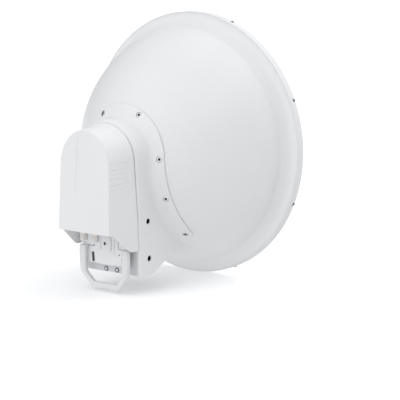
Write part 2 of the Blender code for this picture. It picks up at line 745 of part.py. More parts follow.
def main():
    clear_scene()
    carrier = bpy.data.objects.new("dish_frame", None)
    carrier.location = (-WALL_HALF, -MOUNT_Y, -MOUNT_Z)
    bpy.context.scene.collection.objects.link(carrier)
    painted = material("painted_white", WHITE, 0.38)
    moulded = material("moulded_white", WHITE, 0.42)
    inner_white = material("inner_white", COOL_WHITE, 0.5)
    dark = material("dark_seal", DARK, 0.6)
    steel = material("bright_steel", STEEL, 0.3, 1.0)
    nickel = material("plated_shell", NICKEL, 0.28, 1.0)
    make_reflector(carrier, painted)
    make_rim_ring(carrier, painted)
    envelope = make_bowl_envelope(carrier, painted)
    make_radome(carrier, moulded)
    make_housing(carrier, moulded, steel, envelope)
    make_rear_plate(carrier, inner_white)
    make_cover(carrier, moulded)
    make_gasket(carrier, dark)
    make_radio_body(carrier, inner_white)
    make_connectors(carrier, nickel, steel)
    make_port_panel(carrier, inner_white)
    make_port_door(carrier, inner_white, moulded, dark)
    make_handle(carrier, moulded)
    make_bosses(carrier, steel)
    make_feed(carrier, steel, moulded, painted, envelope)


main()
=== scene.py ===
"""Finished look of a microwave dish antenna with its rear radio, cover, mount housing and carrying handle.

Shapes are written in the dish's own frame: the origin is the centre of the rim's front plane, +Y is the
boresight, +X is to the right seen from behind and +Z is up. DISH carries that frame into the model's.
"""
import math

import bmesh
import bpy
from mathutils import Matrix, Vector


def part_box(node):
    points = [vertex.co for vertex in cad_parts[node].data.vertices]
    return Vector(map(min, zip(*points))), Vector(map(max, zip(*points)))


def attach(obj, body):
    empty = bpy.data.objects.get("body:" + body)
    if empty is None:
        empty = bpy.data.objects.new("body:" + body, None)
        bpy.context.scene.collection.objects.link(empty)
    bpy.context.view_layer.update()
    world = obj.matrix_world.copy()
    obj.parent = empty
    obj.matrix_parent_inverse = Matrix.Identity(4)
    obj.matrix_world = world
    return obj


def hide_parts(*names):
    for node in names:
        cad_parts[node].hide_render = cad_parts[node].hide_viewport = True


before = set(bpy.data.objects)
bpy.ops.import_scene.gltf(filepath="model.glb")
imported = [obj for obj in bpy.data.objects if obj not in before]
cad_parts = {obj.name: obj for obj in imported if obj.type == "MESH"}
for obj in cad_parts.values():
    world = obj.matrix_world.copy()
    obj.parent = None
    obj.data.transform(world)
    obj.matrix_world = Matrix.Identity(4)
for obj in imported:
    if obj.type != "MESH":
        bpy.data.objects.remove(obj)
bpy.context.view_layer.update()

# Driving dimensions of the part, metres
RIM_RADIUS = 0.325
GAP = 0.0003
SKIN = 0.003
BAND_DEPTH = 0.0234
RADOME_RISE = 0.035
RADOME_EDGE = 0.004

# Reflector and rolled rim
BOWL_RADIUS = 0.2898
BOWL_SHOULDER = 0.0497
BOWL_DEPTH = 0.2622
BOWL_EXPONENT = 1 / 1.4
FLARE_Y = -0.0237
FLARE_POWER = 2.3
FLARE_ROLL = 0.0004
RIM_FRONT_Y = -0.0035
BOWL_HOLE_RADIUS = 0.0300
BOWL_SEGMENTS = 192

# Mount housing
WALL_HALF = 0.0915
WALL_SKIN = 0.0033
WALL_LIP = 0.0105
WALL_LIP_SKIN = 0.0040
WALL_CORNER = 0.0050
NECK_SPRING = -0.002
FILLET_HEIGHT = 0.013
FILLET_END_HALF = 0.1005
FLANGE_HALF = 0.1225
FLANGE_SPLAY = 0.028
FLANGE_SKIN = 0.0040
FLANGE_LOWER_Z = -0.196
FLANGE_EDGE = 0.0012
FLANGE_TIP_ROUND = 0.0040
UNDERCUT_HEIGHT = 0.0019
UNDERCUT_WIDTH = 0.0060
SEAM_Y = -0.3440
SEAM_LEAN = -0.055
WALL_BOTTOM_Z = -0.2817
WALL_CORNER_START_Y = -0.308
WALL_CORNER_RUN = 0.0207
WALL_CORNER_RISE = 0.0055
WALL_SLOPE_START_Y = -0.296
WALL_SLOPE = 0.51
WALL_SLOPE_SOFTNESS = 0.008
FREE_EDGE = 0.0007

# Bracket holes: depth and height of each in the side walls
BRACKET_HOLES = {"upper": (-0.302, -0.148), "lower": (-0.298, -0.238)}
INSERT_RADIUS = 0.0066
INSERT_BORE_RADIUS = 0.0054
INSERT_LENGTH = 0.010
INSERT_RECESS = 0.0024
HOLE_CHAMFER = 0.0005
THREAD_PITCH = 0.00125
THREAD_DEPTH = 0.0006

# Radio cover: a flattened arch with splayed sides, wider and lower at the seam than at its rear face
COVER_REAR_Y = -0.4251
COVER_REAR_LEAN = 0.0312
COVER_FRONT_HALF = 0.0844
COVER_FRONT_RISE = 0.0826
COVER_FRONT_SPRING = -0.0005
COVER_REAR_HALF = 0.0764
COVER_REAR_RISE = 0.0877
COVER_REAR_SPRING = -0.0125
COVER_SPLAY = 0.024
COVER_SKIN = 0.0030
COVER_ROUND = 0.004
COVER_LIP = 0.0015
LIP_TOP_SHARE = 0.735
LIP_LOW_SHARE = 0.845
LIP_TOP_Z = 0.080
LIP_STEP = 0.030
LIP_END_Z = -0.176
LIP_FADE = 0.012
COVER_BOTTOM_REAR_Z = -0.1665
COVER_BOTTOM_FRONT_Z = -0.2150
COVER_SLOPE_START = 0.14
COVER_SLOPE_END = 0.74
COVER_SLOPE_SOFTNESS = 0.04
COVER_CORNER_START = 0.93
COVER_CORNER_RISE = 0.0085
SEAM_GAP_LOW = 0.0024
SEAM_GAP_TOP = 0.0006
SEAM_NARROW_Z = 0.035
SEAM_NARROW_RUN = 0.035
SEAL_INSET = 0.0032
SEAL_WIDTH = 0.0030
SEAL_SKIN = 0.0014

# Shallow lines in the cover: a crease down its rear face, and vent grooves in its sides
CREASE = ((-0.0190, 0.0790), (-0.0230, 0.0024), (-0.0262, -0.0688), (-0.0252, -0.1101))
CREASE_HALF = 0.0011
CREASE_DEPTH = 0.0013
VENT_HEIGHTS = (-0.001, -0.016, -0.027, -0.038, -0.051, -0.062)
VENT_REAR_Y = -0.4190
VENT_FRONT_TOP_Y = -0.3720
VENT_FRONT_LOW_Y = -0.3840
VENT_CLIMB = 0.0020
VENT_RADIUS = 0.0014
VENT_DEPTH = 0.0010

# Radio body, connectors, panel and door
BODY_BOTTOM_Z = -0.1660
CONNECTOR_X = 0.0179
CONNECTOR_Y = -0.4075
CONNECTOR_RADIUS = 0.0098
CONNECTOR_BORE_RADIUS = 0.0072
CONNECTOR_LENGTH = 0.0240
CONNECTOR_SOCKET_DEPTH = 0.0072
SOCKET_INSULATOR = ((0, 0), (0.0046, 0), (0.0046, 0.0030), (0.0042, 0.0034), (0.0016, 0.0034),
                    (0.0016, 0.0008), (0, 0.0008))
SOCKET_CONTACT = ((0, 0.0008), (0.0013, 0.0008), (0.0013, 0.0040), (0.0009, 0.0046), (0.0006, 0.0046),
                  (0.0005, 0.0030), (0, 0.0030))
PANEL_REAR_Y = -0.3490
PANEL_HALF = 0.0745
PANEL_SHOULDER_Z = -0.2180
PANEL_FOOT_TOP_Z = -0.2220
PANEL_FOOT_HALF = 0.0600
PANEL_BOTTOM_Z = -0.2565
PANEL_MIDDLE_HALF = 0.0470
PANEL_MIDDLE_BOTTOM_Z = -0.2545
PANEL_MIDDLE_ROUND = 0.0060
CHANNEL_END_HALF = 0.0550
CHANNEL_TOP_Z = -0.2165
CHANNEL_DEPTH = 0.0024
SLOT_DEPTH = 0.0060
EAR_HALF = 0.0378
EAR_TOP_Z = -0.2162
EAR_CLIMB_Z = -0.1960
EAR_GROOVE = 0.0020
DOOR_X = 0.0052
DOOR_HALF = 0.0203
DOOR_TOP_Z = -0.1720
DOOR_BOTTOM_Z = -0.2305
DOOR_SKIN = 0.0012
PLUG_X = 0.0122
PLUG_Z = -0.2055
PLUG_HALF = 0.0046
PLUG_HEIGHT = 0.0320
HINGE_SLOTS = ((-0.0181, -0.1850, -0.1880), (-0.0179, -0.1895, -0.1918), (-0.0176, -0.1940, -0.1968),
               (-0.0168, -0.1988, -0.2109), (-0.0168, -0.2133, -0.2218))
HINGE_SLOT_HALF = 0.0009
PANEL_HOLE = (0.0403, -0.2292)
PANEL_HOLE_RADIUS = 0.0021

# Handle
HANDLE_REAR_Y = -0.3615
HANDLE_DEPTH = 0.0122
HANDLE_LEAN = 0.145
HANDLE_TOP_Z = -0.2140
HANDLE_TOP_HALF = 0.0757
HANDLE_BULGE = (0.0768, -0.2430)
HANDLE_KNEE = (0.0742, -0.2778)
HANDLE_FOOT = (0.0362, -0.3210)
HANDLE_GRIP_HALF = 0.0300
HANDLE_GRIP_Z = -0.3150
HANDLE_GRIP_SAG = 0.0035
HANDLE_INNER_HALF = 0.0568
HANDLE_INNER_KNEE_Z = -0.2790
HANDLE_INNER_FOOT = (0.0354, -0.3005)
HANDLE_KNEE_ROUND = 0.008
HANDLE_FOOT_ROUND = 0.0022
HANDLE_INNER_KNEE_ROUND = 0.014
HANDLE_INNER_FOOT_ROUND = 0.006
HANDLE_EDGE = 0.0042
HANDLE_LEAN_START_Z = -0.2660
HANDLE_COLLAR_Z = -0.2330
HANDLE_COLLAR_RISE = 0.0008

# Fasteners; angles are in degrees from the top
BOSS_X = 0.0170
BOSS_Z = -0.2708
BOSS_RADIUS = 0.0056
FLANGE_SCREW_ARCH = 0.1130
FLANGE_SCREW_HALF = 0.1140
FLANGE_SCREW_ANGLES = {1: (27, 90), -1: (33, 90)}
FLANGE_SCREW_HEIGHTS = (-0.097, -0.193)
COUNTERBORE_RADIUS = 0.0074
COUNTERBORE_DEPTH = 0.0024
RIM_SCREW_ANGLES = (20.4, 67.0, 112.6, 157.5)
RIM_SCREW_Y = -0.0072
RIM_SCREW_RADIUS = 0.0041

# Photographed view: bearing and height of the camera, its distance and lens, and the aim beside the rim
CAMERA_AZIMUTH = math.radians(38.62)
CAMERA_ELEVATION = math.radians(9.95)
CAMERA_DISTANCE = 4.974
CAMERA_LENS = 179.55
CAMERA_ASIDE = 0.005
CAMERA_BELOW = 0.146

# Studio: an even level of light, broad patches by bearing, height, narrowness and strength, and a floor
STUDIO_LEVEL = 0.33
SOFT_BOXES = ((20, 30, 4, 1.90), (180, 30, 2, 1.08), (0, 90, 1, 0.22), (0, -90, 1, 0.60))
LIGHT_TINT = (0.985, 0.99, 1.0, 1)
WHITE = (1, 1, 1, 1)
BACKDROP_LEVEL = 1.05
FLOOR_GLOW = 0.17
FLOOR_REACH = 40

# Steps along an arch, down each side of it, and round turned pieces and cutters of several sizes
ARCH_STEPS = 96
SIDE_STEPS = 40
ROUND_STEPS = 48
SMALL_STEPS = 36
CONTACT_STEPS = 32
HOLE_STEPS = 24
BAR_STEPS = 16

# Edges that turn by more degrees than this stay crisp
CRISP_ANGLE = 30

radome_low, radome_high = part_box("radome")
DISH = (radome_low + radome_high) / 2
DISH.y = radome_low.y + BAND_DEPTH


# Mesh helpers


def link_object(name, data, at=(0, 0, 0)):
    """An object with this data, put in the scene at a place in the dish's frame."""
    item = bpy.data.objects.new(name, data)
    bpy.context.scene.collection.objects.link(item)
    item.location = DISH + Vector(at)
    return item


def add_object(name, bm, finish=None, at=(0, 0, 0), axis=None, smooth=CRISP_ANGLE):
    """A mesh object in the dish's frame; a small turned piece is aimed from +Y to its axis."""
    bmesh.ops.recalc_face_normals(bm, faces=bm.faces)
    mesh = bpy.data.meshes.new(name)
    bm.to_mesh(mesh)
    bm.free()
    mesh.shade_smooth()
    mesh.set_sharp_from_angle(angle=math.radians(smooth))
    if finish:
        mesh.materials.append(finish)
    item = link_object(name, mesh, at)
    if axis:
        item.rotation_mode = "QUATERNION"
        item.rotation_quaternion = Vector((0, 1, 0)).rotation_difference(Vector(axis))
    return item


def add_piece(name, bm, finish, replaced=(), at=(0, 0, 0), axis=None, smooth=CRISP_ANGLE):
    """An object that belongs to the antenna: it rides on the one body, and may stand for solids."""
    item = add_object(name, bm, finish, at, axis, smooth)
    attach(item, "root")
    if replaced:
        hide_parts(*replaced)
    return item


def soften(item, width, angle=50):
    """Round the edges that turn by more than an angle, and return the step that does it."""
    step = item.modifiers.new("soft_edges", "BEVEL")
    step.width = width
    step.segments = 2
    step.limit_method = "ANGLE"
    step.angle_limit = math.radians(angle)
    step.harden_normals = True
    return step


def bake(item, cutters):
    """Subtract the cutters, keep the result as the item's own mesh, and remove the cutters."""
    for cutter in cutters:
        step = item.modifiers.new("cut", "BOOLEAN")
        step.operation = "DIFFERENCE"
        step.solver = "EXACT"
        step.object = cutter
    bpy.context.view_layer.update()
    graph = bpy.context.evaluated_depsgraph_get()
    mesh = bpy.data.meshes.new_from_object(item.evaluated_get(graph))
    item.modifiers.clear()
    item.data = mesh
    mesh.shade_smooth()
    mesh.set_sharp_from_angle(angle=math.radians(CRISP_ANGLE))
    for cutter in cutters:
        bpy.data.objects.remove(cutter, do_unlink=True)
    even = item.modifiers.new("even_normals", "WEIGHTED_NORMAL")
    even.keep_sharp = True


def loft(loops, edge=0.0):
    """A closed solid through closed loops of equal length; the rims of its two caps may be rounded."""
    bm = bmesh.new()
    rings = [[bm.verts.new(point) for point in loop] for loop in loops]
    count = len(rings[0])
    for near, far in zip(rings, rings[1:]):
        for i in range(count):
            j = (i + 1) % count
            bm.faces.new((near[i], near[j], far[j], far[i]))
    caps = [bm.faces.new(rings[0]), bm.faces.new(rings[-1])]
    if edge:
        rims = [side for cap in caps for side in cap.edges]
        bmesh.ops.bevel(bm, geom=rims, offset=edge, segments=2, profile=0.5, affect="EDGES",
                        clamp_overlap=False)
    bmesh.ops.triangulate(bm, faces=[face for face in bm.faces if len(face.verts) > 4])
    return bm


def turned(profile, segments, hexagonal=()):
    """A solid turned about the Y axis from a closed profile of (radius, y); radius 0 makes a pole.

    Points of the profile whose place is in hexagonal follow a hexagon with that inner radius.
    """
    bm = bmesh.new()
    rings = []
    for place, (radius, y) in enumerate(profile):
        if radius == 0:
            rings.append([bm.verts.new((0, y, 0))])
            continue
        ring = []
        for i in range(segments):
            angle = 2 * math.pi * i / segments
            reach = radius
            if place in hexagonal:
                reach = radius / math.cos(angle % (math.pi / 3) - math.pi / 6)
            ring.append(bm.verts.new((reach * math.sin(angle), y, reach * math.cos(angle))))
        rings.append(ring)
    for k, near in enumerate(rings):
        far = rings[(k + 1) % len(rings)]
        if len(near) == 1 and len(far) == 1:
            continue
        for i in range(segments):
            j = (i + 1) % segments
            if len(near) == 1:
                bm.faces.new((near[0], far[j], far[i]))
            elif len(far) == 1:
                bm.faces.new((near[i], near[j], far[0]))
            else:
                bm.faces.new((near[i], near[j], far[j], far[i]))
    return bm


def arc(centre, radius, start, end, steps):
    """Points of (radius, y) on an arc about a centre, angles in degrees from the +radius direction."""
    points = []
    for i in range(steps + 1):
        angle = math.radians(start + (end - start) * i / steps)
        points.append((centre[0] + radius * math.cos(angle), centre[1] + radius * math.sin(angle)))
    return points


def rounded_corner(before, corner, after, radius, steps):
    """Points on the arc that rounds a corner of a flat outline, from the first side to the second."""
    corner = Vector(corner)
    back = (Vector(before) - corner).normalized()
    ahead = (Vector(after) - corner).normalized()
    half_angle = back.angle(ahead) / 2
    centre = corner + (back + ahead).normalized() * (radius / math.sin(half_angle))
    start = corner + back * (radius / math.tan(half_angle)) - centre
    sweep = math.pi - 2 * half_angle
    turn = 1 if back.x * ahead.y - back.y * ahead.x < 0 else -1
    points = []
    for i in range(steps + 1):
        angle = turn * sweep * i / steps
        x = start.x * math.cos(angle) - start.y * math.sin(angle)
        y = start.x * math.sin(angle) + start.y * math.cos(angle)
        points.append((centre.x + x, centre.y + y))
    return points


def smooth_step(value):
    share = max(0.0, min(1.0, value))
    return share * share * (3 - 2 * share)


# Surfaces that several pieces share


def bowl_back_y(radius):
    share = min(radius / BOWL_RADIUS, 1.0)
    return -(BOWL_SHOULDER + BOWL_DEPTH * (1 - share ** 2) ** BOWL_EXPONENT)


def bowl_normal(x, z):
    """The direction straight off the back of the bowl."""
    step = 0.0005
    radius = math.hypot(x, z)
    slope = (bowl_back_y(radius + step) - bowl_back_y(radius - step)) / (2 * step)
    return Vector((slope * x / radius, -1, slope * z / radius)).normalized()


def on_bowl(height):
    return lambda x, z: bowl_back_y(math.hypot(x, z)) - height


def seam_y(z):
    return SEAM_Y + SEAM_LEAN * z


def behind_seam(depth):
    return lambda x, z: seam_y(z) + depth


def between(near, far, share):
    return lambda x, z: near(x, z) + (far(x, z) - near(x, z)) * share


def arch_point(half, spring, step, rise=None):
    angle = math.pi * (step / ARCH_STEPS - 0.5)
    return half * math.sin(angle), spring + (rise or half) * math.cos(angle)


# Materials


def node_material(name):
    made = bpy.data.materials.new(name)
    made.use_nodes = True
    tree = made.node_tree
    return made, tree, tree.nodes["Principled BSDF"]


def noise(tree, scale, detail=3.0, stretch=(1, 1, 1)):
    """Noise on the object's own coordinates; stretch draws it out along an axis."""
    place = tree.nodes.new("ShaderNodeTexCoord")
    shape = tree.nodes.new("ShaderNodeMapping")
    shape.inputs["Scale"].default_value = stretch
    made = tree.nodes.new("ShaderNodeTexNoise")
    made.inputs["Scale"].default_value = scale
    made.inputs["Detail"].default_value = detail
    tree.links.new(place.outputs["Object"], shape.inputs["Vector"])
    tree.links.new(shape.outputs["Vector"], made.inputs["Vector"])
    return made.outputs["Fac"]


def spread(tree, value, low, high):
    """Map the middle of a noise to a range of numbers."""
    made = tree.nodes.new("ShaderNodeMapRange")
    made.inputs["From Min"].default_value = 0.3
    made.inputs["From Max"].default_value = 0.7
    made.inputs["To Min"].default_value = low
    made.inputs["To Max"].default_value = high
    tree.links.new(value, made.inputs["Value"])
    return made.outputs["Result"]


def two_tone(tree, value, first, second):
    made = tree.nodes.new("ShaderNodeValToRGB")
    made.color_ramp.elements[0].position = 0.3
    made.color_ramp.elements[0].color = (*first, 1)
    made.color_ramp.elements[1].position = 0.7
    made.color_ramp.elements[1].color = (*second, 1)
    tree.links.new(value, made.inputs["Fac"])
    return made.outputs["Color"]


def add_bump(tree, value, strength, distance):
    made = tree.nodes.new("ShaderNodeBump")
    made.inputs["Strength"].default_value = strength
    made.inputs["Distance"].default_value = distance
    tree.links.new(value, made.inputs["Height"])
    tree.links.new(made.outputs["Normal"], tree.nodes["Principled BSDF"].inputs["Normal"])


def finish(name, tones, roughness, grain, tone_scale=9.0, relief=(0.2, 0.0001), metallic=0.0,
           stretch=(1, 1, 1)):
    """A material with a slow drift of tone, a fine grain in its gloss, and a shallow relief."""
    made, tree, shader = node_material(name)
    tree.links.new(two_tone(tree, noise(tree, tone_scale), *tones), shader.inputs["Base Color"])
    fine = noise(tree, grain, 2.0, stretch)
    tree.links.new(spread(tree, fine, *roughness), shader.inputs["Roughness"])
    add_bump(tree, fine, *relief)
    shader.inputs["Metallic"].default_value = metallic
    return made


def make_finishes():
    """Every finish by name: two tones, range of roughness, fineness of grain, and what else it has."""
    screw_steel = {"relief": (0.15, 0.00004), "metallic": 1.0}
    inner = {"relief": (0.25, 0.00010)}
    moulded = {"relief": (0.22, 0.00008)}
    looks = {
        "powder_coat": (((0.795, 0.805, 0.815), (0.815, 0.822, 0.830)), (0.34, 0.44), 520,
                        {"relief": (0.16, 0.00012)}),
        "moulded_plastic": (((0.800, 0.806, 0.815), (0.820, 0.825, 0.832)), (0.38, 0.50), 1500, moulded),
        "radome_plastic": (((0.765, 0.772, 0.782), (0.785, 0.791, 0.799)), (0.42, 0.52), 1100,
                           {"tone_scale": 5.0, "relief": (0.20, 0.00010)}),
        # Inner plastic: a little lighter than the cover's plastic, painted light that offsets the shade under
        # the cover
        "inner_plastic_painted_light": (((0.815, 0.825, 0.835), (0.840, 0.848, 0.858)), (0.48, 0.60), 1300, inner),
        # The inner plastic made darker for the rear plate: painted shade for the plate's place under the
        # cover
        "plate_plastic_painted_shade": (((0.66, 0.67, 0.69), (0.69, 0.70, 0.72)), (0.48, 0.60), 1300, inner),
        "handle_plastic": (((0.745, 0.757, 0.765), (0.765, 0.776, 0.783)), (0.40, 0.52), 1500, moulded),
        # Near-black rubber for the cover seal: partly its own colour, partly painted shade that darkens the
        # seam
        "rubber_seal_and_gap_shade": (((0.05, 0.05, 0.055), (0.08, 0.08, 0.085)), (0.55, 0.75), 900, {}),
        # Dark plastic for the indicator window and door latch; the same finish is painted into the screw
        # sockets as painted shade
        "dark_plastic": (((0.018, 0.018, 0.022), (0.030, 0.030, 0.034)), (0.22, 0.34), 1600, {}),
        "turned_steel": (((0.56, 0.56, 0.57), (0.66, 0.66, 0.67)), (0.22, 0.36), 700,
                         {"relief": (0.15, 0.00005), "metallic": 1.0, "stretch": (1, 14, 1)}),
        # Near-black steel for the bracket bushes: partly their own colour, partly painted shade that darkens
        # the bores
        "black_steel_and_bore_shade": (((0.012, 0.012, 0.014), (0.022, 0.022, 0.025)), (0.35, 0.5), 1800, screw_steel),
        "dark_screw_steel": (((0.16, 0.16, 0.17), (0.24, 0.24, 0.25)), (0.26, 0.42), 1800, screw_steel),
        "bright_screw_steel": (((0.72, 0.72, 0.73), (0.82, 0.82, 0.83)), (0.25, 0.38), 1800, screw_steel),
        "nickel_plating": (((0.76, 0.75, 0.72), (0.84, 0.83, 0.81)), (0.45, 0.56), 900,
                           {"tone_scale": 160.0, "relief": (0.12, 0.00004), "metallic": 0.35,
                            "stretch": (1, 12, 1)}),
        "gold_contact": (((0.78, 0.58, 0.26), (0.86, 0.67, 0.34)), (0.18, 0.28), 1500, {"metallic": 1.0}),
        "white_insulator": (((0.80, 0.79, 0.76), (0.86, 0.85, 0.82)), (0.35, 0.5), 1500, {}),
    }
    return {name: finish(name, tones, roughness, grain, **more)
            for name, (tones, roughness, grain, more) in looks.items()}


# Pieces


def make_reflector(finishes):
    """The bowl with its shoulder, its flare and the rolled rim inside the radome's band, in one skin."""
    bowl_steps, flare_steps, roll_steps = 72, 24, 4
    first = math.asin(BOWL_HOLE_RADIUS / BOWL_RADIUS)
    back = []
    for i in range(bowl_steps + 1):
        radius = BOWL_RADIUS * math.sin(first + (math.pi / 2 - first) * i / bowl_steps)
        back.append((radius, bowl_back_y(radius)))
    edge = RIM_RADIUS - SKIN - GAP
    flare_run = edge - SKIN - GAP - BOWL_RADIUS
    for i in range(1, flare_steps + 1):
        share = i / flare_steps
        rise = 1 - (1 - share) ** FLARE_POWER
        back.append((BOWL_RADIUS + flare_run * share, -BOWL_SHOULDER + (FLARE_Y + BOWL_SHOULDER) * rise))
    inside = []
    for i, (radius, y) in enumerate(back):
        before = Vector(back[max(i - 1, 0)])
        after = Vector(back[min(i + 1, len(back) - 1)])
        run = (after - before).normalized()
        inside.append((radius - run.y * SKIN, y + run.x * SKIN))
    inside[0] = (BOWL_HOLE_RADIUS, inside[0][1])
    roll = arc((edge - FLARE_ROLL, FLARE_Y + FLARE_ROLL), FLARE_ROLL, -90, 0, roll_steps)
    rim = [(edge, RIM_FRONT_Y), (edge - SKIN, RIM_FRONT_Y), (edge - SKIN, FLARE_Y + SKIN)]
    profile = back + roll + rim + inside[::-1]
    add_piece("reflector_dish", turned(profile, BOWL_SEGMENTS), finishes["powder_coat"],
              ("reflector", "rim_ring"), smooth=40)


def make_radome(finishes):
    """A shallow dome with a rolled edge and a straight band that slips over the rim."""
    dome_edge = RIM_RADIUS - RADOME_EDGE
    steps = 28
    lip = 0.0008
    outer = []
    for i in range(steps + 1):
        radius = dome_edge * math.sin(math.pi / 2 * i / steps)
        outer.append((radius, RADOME_RISE * (1 - (radius / dome_edge) ** 2)))
    rolled = arc((dome_edge, -RADOME_EDGE), RADOME_EDGE, 70, 0, 6)
    foot = arc((RIM_RADIUS - lip, -BAND_DEPTH + lip), lip, 0, -90, 3)
    inner = [(RIM_RADIUS - SKIN, -BAND_DEPTH), (RIM_RADIUS - SKIN, -SKIN)]
    inside = [(radius, y - SKIN) for radius, y in outer[:-1] if radius < RIM_RADIUS - 2 * SKIN]
    profile = outer + rolled + foot + inner + inside[::-1]
    add_piece("radome_cap", turned(profile, BOWL_SEGMENTS), finishes["radome_plastic"],
              ("radome",))


def wall_bottom(y):
    """Height of the housing's free lower edge at a depth behind the rim."""
    corner = max(0.0, (WALL_CORNER_START_Y - y) / WALL_CORNER_RUN)
    along_slope = y - WALL_SLOPE_START_Y
    climb = WALL_SLOPE * (along_slope + math.hypot(along_slope, WALL_SLOPE_SOFTNESS)) / 2
    return WALL_BOTTOM_Z + WALL_CORNER_RISE * corner ** 2 + climb


def lower_end(half, surface):
    """The height at which a line down the side, following a surface, reaches the free lower edge."""
    low, high = WALL_BOTTOM_Z, 0.0
    halvings = 40
    for _ in range(halvings):
        middle = (low + high) / 2
        if middle > wall_bottom(surface(half, middle)):
            high = middle
        else:
            low = middle
    return high


def flange_end(half):
    """Lower end of a line on the flange: level with the fillet's at its root, round at its tip."""
    root = lower_end(FILLET_END_HALF, on_bowl(FLANGE_SKIN + GAP))
    if half <= FILLET_END_HALF:
        return root
    share = (half - FILLET_END_HALF) / (FLANGE_HALF - FILLET_END_HALF)
    tip = max(0.0, (half - FLANGE_HALF + FLANGE_TIP_ROUND) / FLANGE_TIP_ROUND)
    return root + (FLANGE_LOWER_Z - root) * share + FLANGE_TIP_ROUND * (1 - math.sqrt(1 - min(tip, 1.0) ** 2))


def flange_splay(half):
    """How much a line on the flange leans outward on its way down: nothing at the root, most at the edge."""
    return FLANGE_SPLAY * max(0.0, (half - FILLET_END_HALF) / (FLANGE_HALF - FILLET_END_HALF))


def housing_section():
    """Wall and flange in section: half width, spring height, surface and lower end of each line."""
    face = FLANGE_SKIN + GAP
    neck = on_bowl(FLANGE_SKIN + FILLET_HEIGHT)
    inner = WALL_HALF - WALL_SKIN
    lines = [(WALL_HALF - WALL_LIP, NECK_SPRING, behind_seam(0.0))]
    corner_steps, wall_steps, fillet_steps, edge_steps = 6, 8, 8, 3
    for i in range(corner_steps + 1):
        turn = math.pi / 2 * i / corner_steps
        half = WALL_HALF - WALL_CORNER * (1 - math.sin(turn))
        lines.append((half, NECK_SPRING, behind_seam(WALL_CORNER * (1 - math.cos(turn)))))
    wall_shares = [i / wall_steps for i in range(1, wall_steps)]
    for share in wall_shares:
        lines.append((WALL_HALF, NECK_SPRING, between(behind_seam(WALL_CORNER), neck, share)))
    for i in range(fillet_steps + 1):
        turn = math.pi / 2 * i / fillet_steps
        half = WALL_HALF + (FILLET_END_HALF - WALL_HALF) * (1 - math.cos(turn))
        height = face + (FILLET_HEIGHT - GAP) * (1 - math.sin(turn))
        lines.append((half, NECK_SPRING * math.cos(turn), on_bowl(height)))
    flange_run = FLANGE_HALF - FLANGE_EDGE - FILLET_END_HALF
    flange = [(FILLET_END_HALF + flange_run * share, 0.0, on_bowl(face)) for share in (0.25, 0.5, 0.75, 0.9)]
    for i in range(edge_steps + 1):
        turn = math.pi / 2 * i / edge_steps
        half = FLANGE_HALF - FLANGE_EDGE * (1 - math.sin(turn))
        flange.append((half, 0.0, on_bowl(face - FLANGE_EDGE * (1 - math.cos(turn)))))
    flange += [
        (FLANGE_HALF, 0.0, on_bowl(UNDERCUT_HEIGHT)),
        (FLANGE_HALF - UNDERCUT_WIDTH, 0.0, on_bowl(UNDERCUT_HEIGHT)),
        (FLANGE_HALF - UNDERCUT_WIDTH - UNDERCUT_HEIGHT, 0.0, on_bowl(GAP)),
    ]
    foot = [(FILLET_END_HALF, 0.0, on_bowl(GAP)), (inner, NECK_SPRING, on_bowl(GAP))]
    lip_end = WALL_LIP_SKIN + WALL_LIP - WALL_SKIN
    for share in wall_shares[::-1]:
        foot.append((inner, NECK_SPRING, between(behind_seam(lip_end), on_bowl(GAP), share)))
    foot.append((inner, NECK_SPRING, behind_seam(lip_end)))
    foot.append((WALL_HALF - WALL_LIP, NECK_SPRING, behind_seam(WALL_LIP_SKIN)))
    section = [(*line, lower_end(line[0], line[2])) for line in lines]
    section += [(*line, flange_end(line[0])) for line in flange]
    section += [(*line, lower_end(line[0], line[2])) for line in foot]
    return section


def housing_loops():
    """The section at each step along the arch, from the left wall's foot over the top to the right's."""
    section = housing_section()

    def side_loop(side, step):
        loop = []
        for half, spring, surface, end in section:
            z = spring + (end - spring) * step / SIDE_STEPS
            x = half + flange_splay(half) * (spring - z)
            loop.append((side * x, surface(x, z), z))
        return loop

    def arch_loop(step):
        loop = []
        for half, spring, surface, _ in section:
            x, z = arch_point(half, spring, step)
            loop.append((x, surface(x, z), z))
        return loop

    left = [side_loop(-1, step) for step in range(SIDE_STEPS, 0, -1)]
    top = [arch_loop(step) for step in range(ARCH_STEPS + 1)]
    right = [side_loop(1, step) for step in range(1, SIDE_STEPS + 1)]
    return left + top + right


def flange_screw_points():
    """Places of the screws on the flange, as (x, z): round the arch, then down each side."""
    for side, angles in FLANGE_SCREW_ANGLES.items():
        for angle in angles:
            turn = math.radians(angle)
            yield side * FLANGE_SCREW_ARCH * math.sin(turn), FLANGE_SCREW_ARCH * math.cos(turn)
        for z in FLANGE_SCREW_HEIGHTS:
            yield side * FLANGE_SCREW_HALF, z


def on_flange(x, z):
    return Vector((x, bowl_back_y(math.hypot(x, z)) - FLANGE_SKIN - GAP, z))


def bracket_places():
    for side_name, side in (("right", 1), ("left", -1)):
        for level, (y, z) in BRACKET_HOLES.items():
            yield side_name + "_" + level, side, Vector((side * WALL_HALF, y, z))


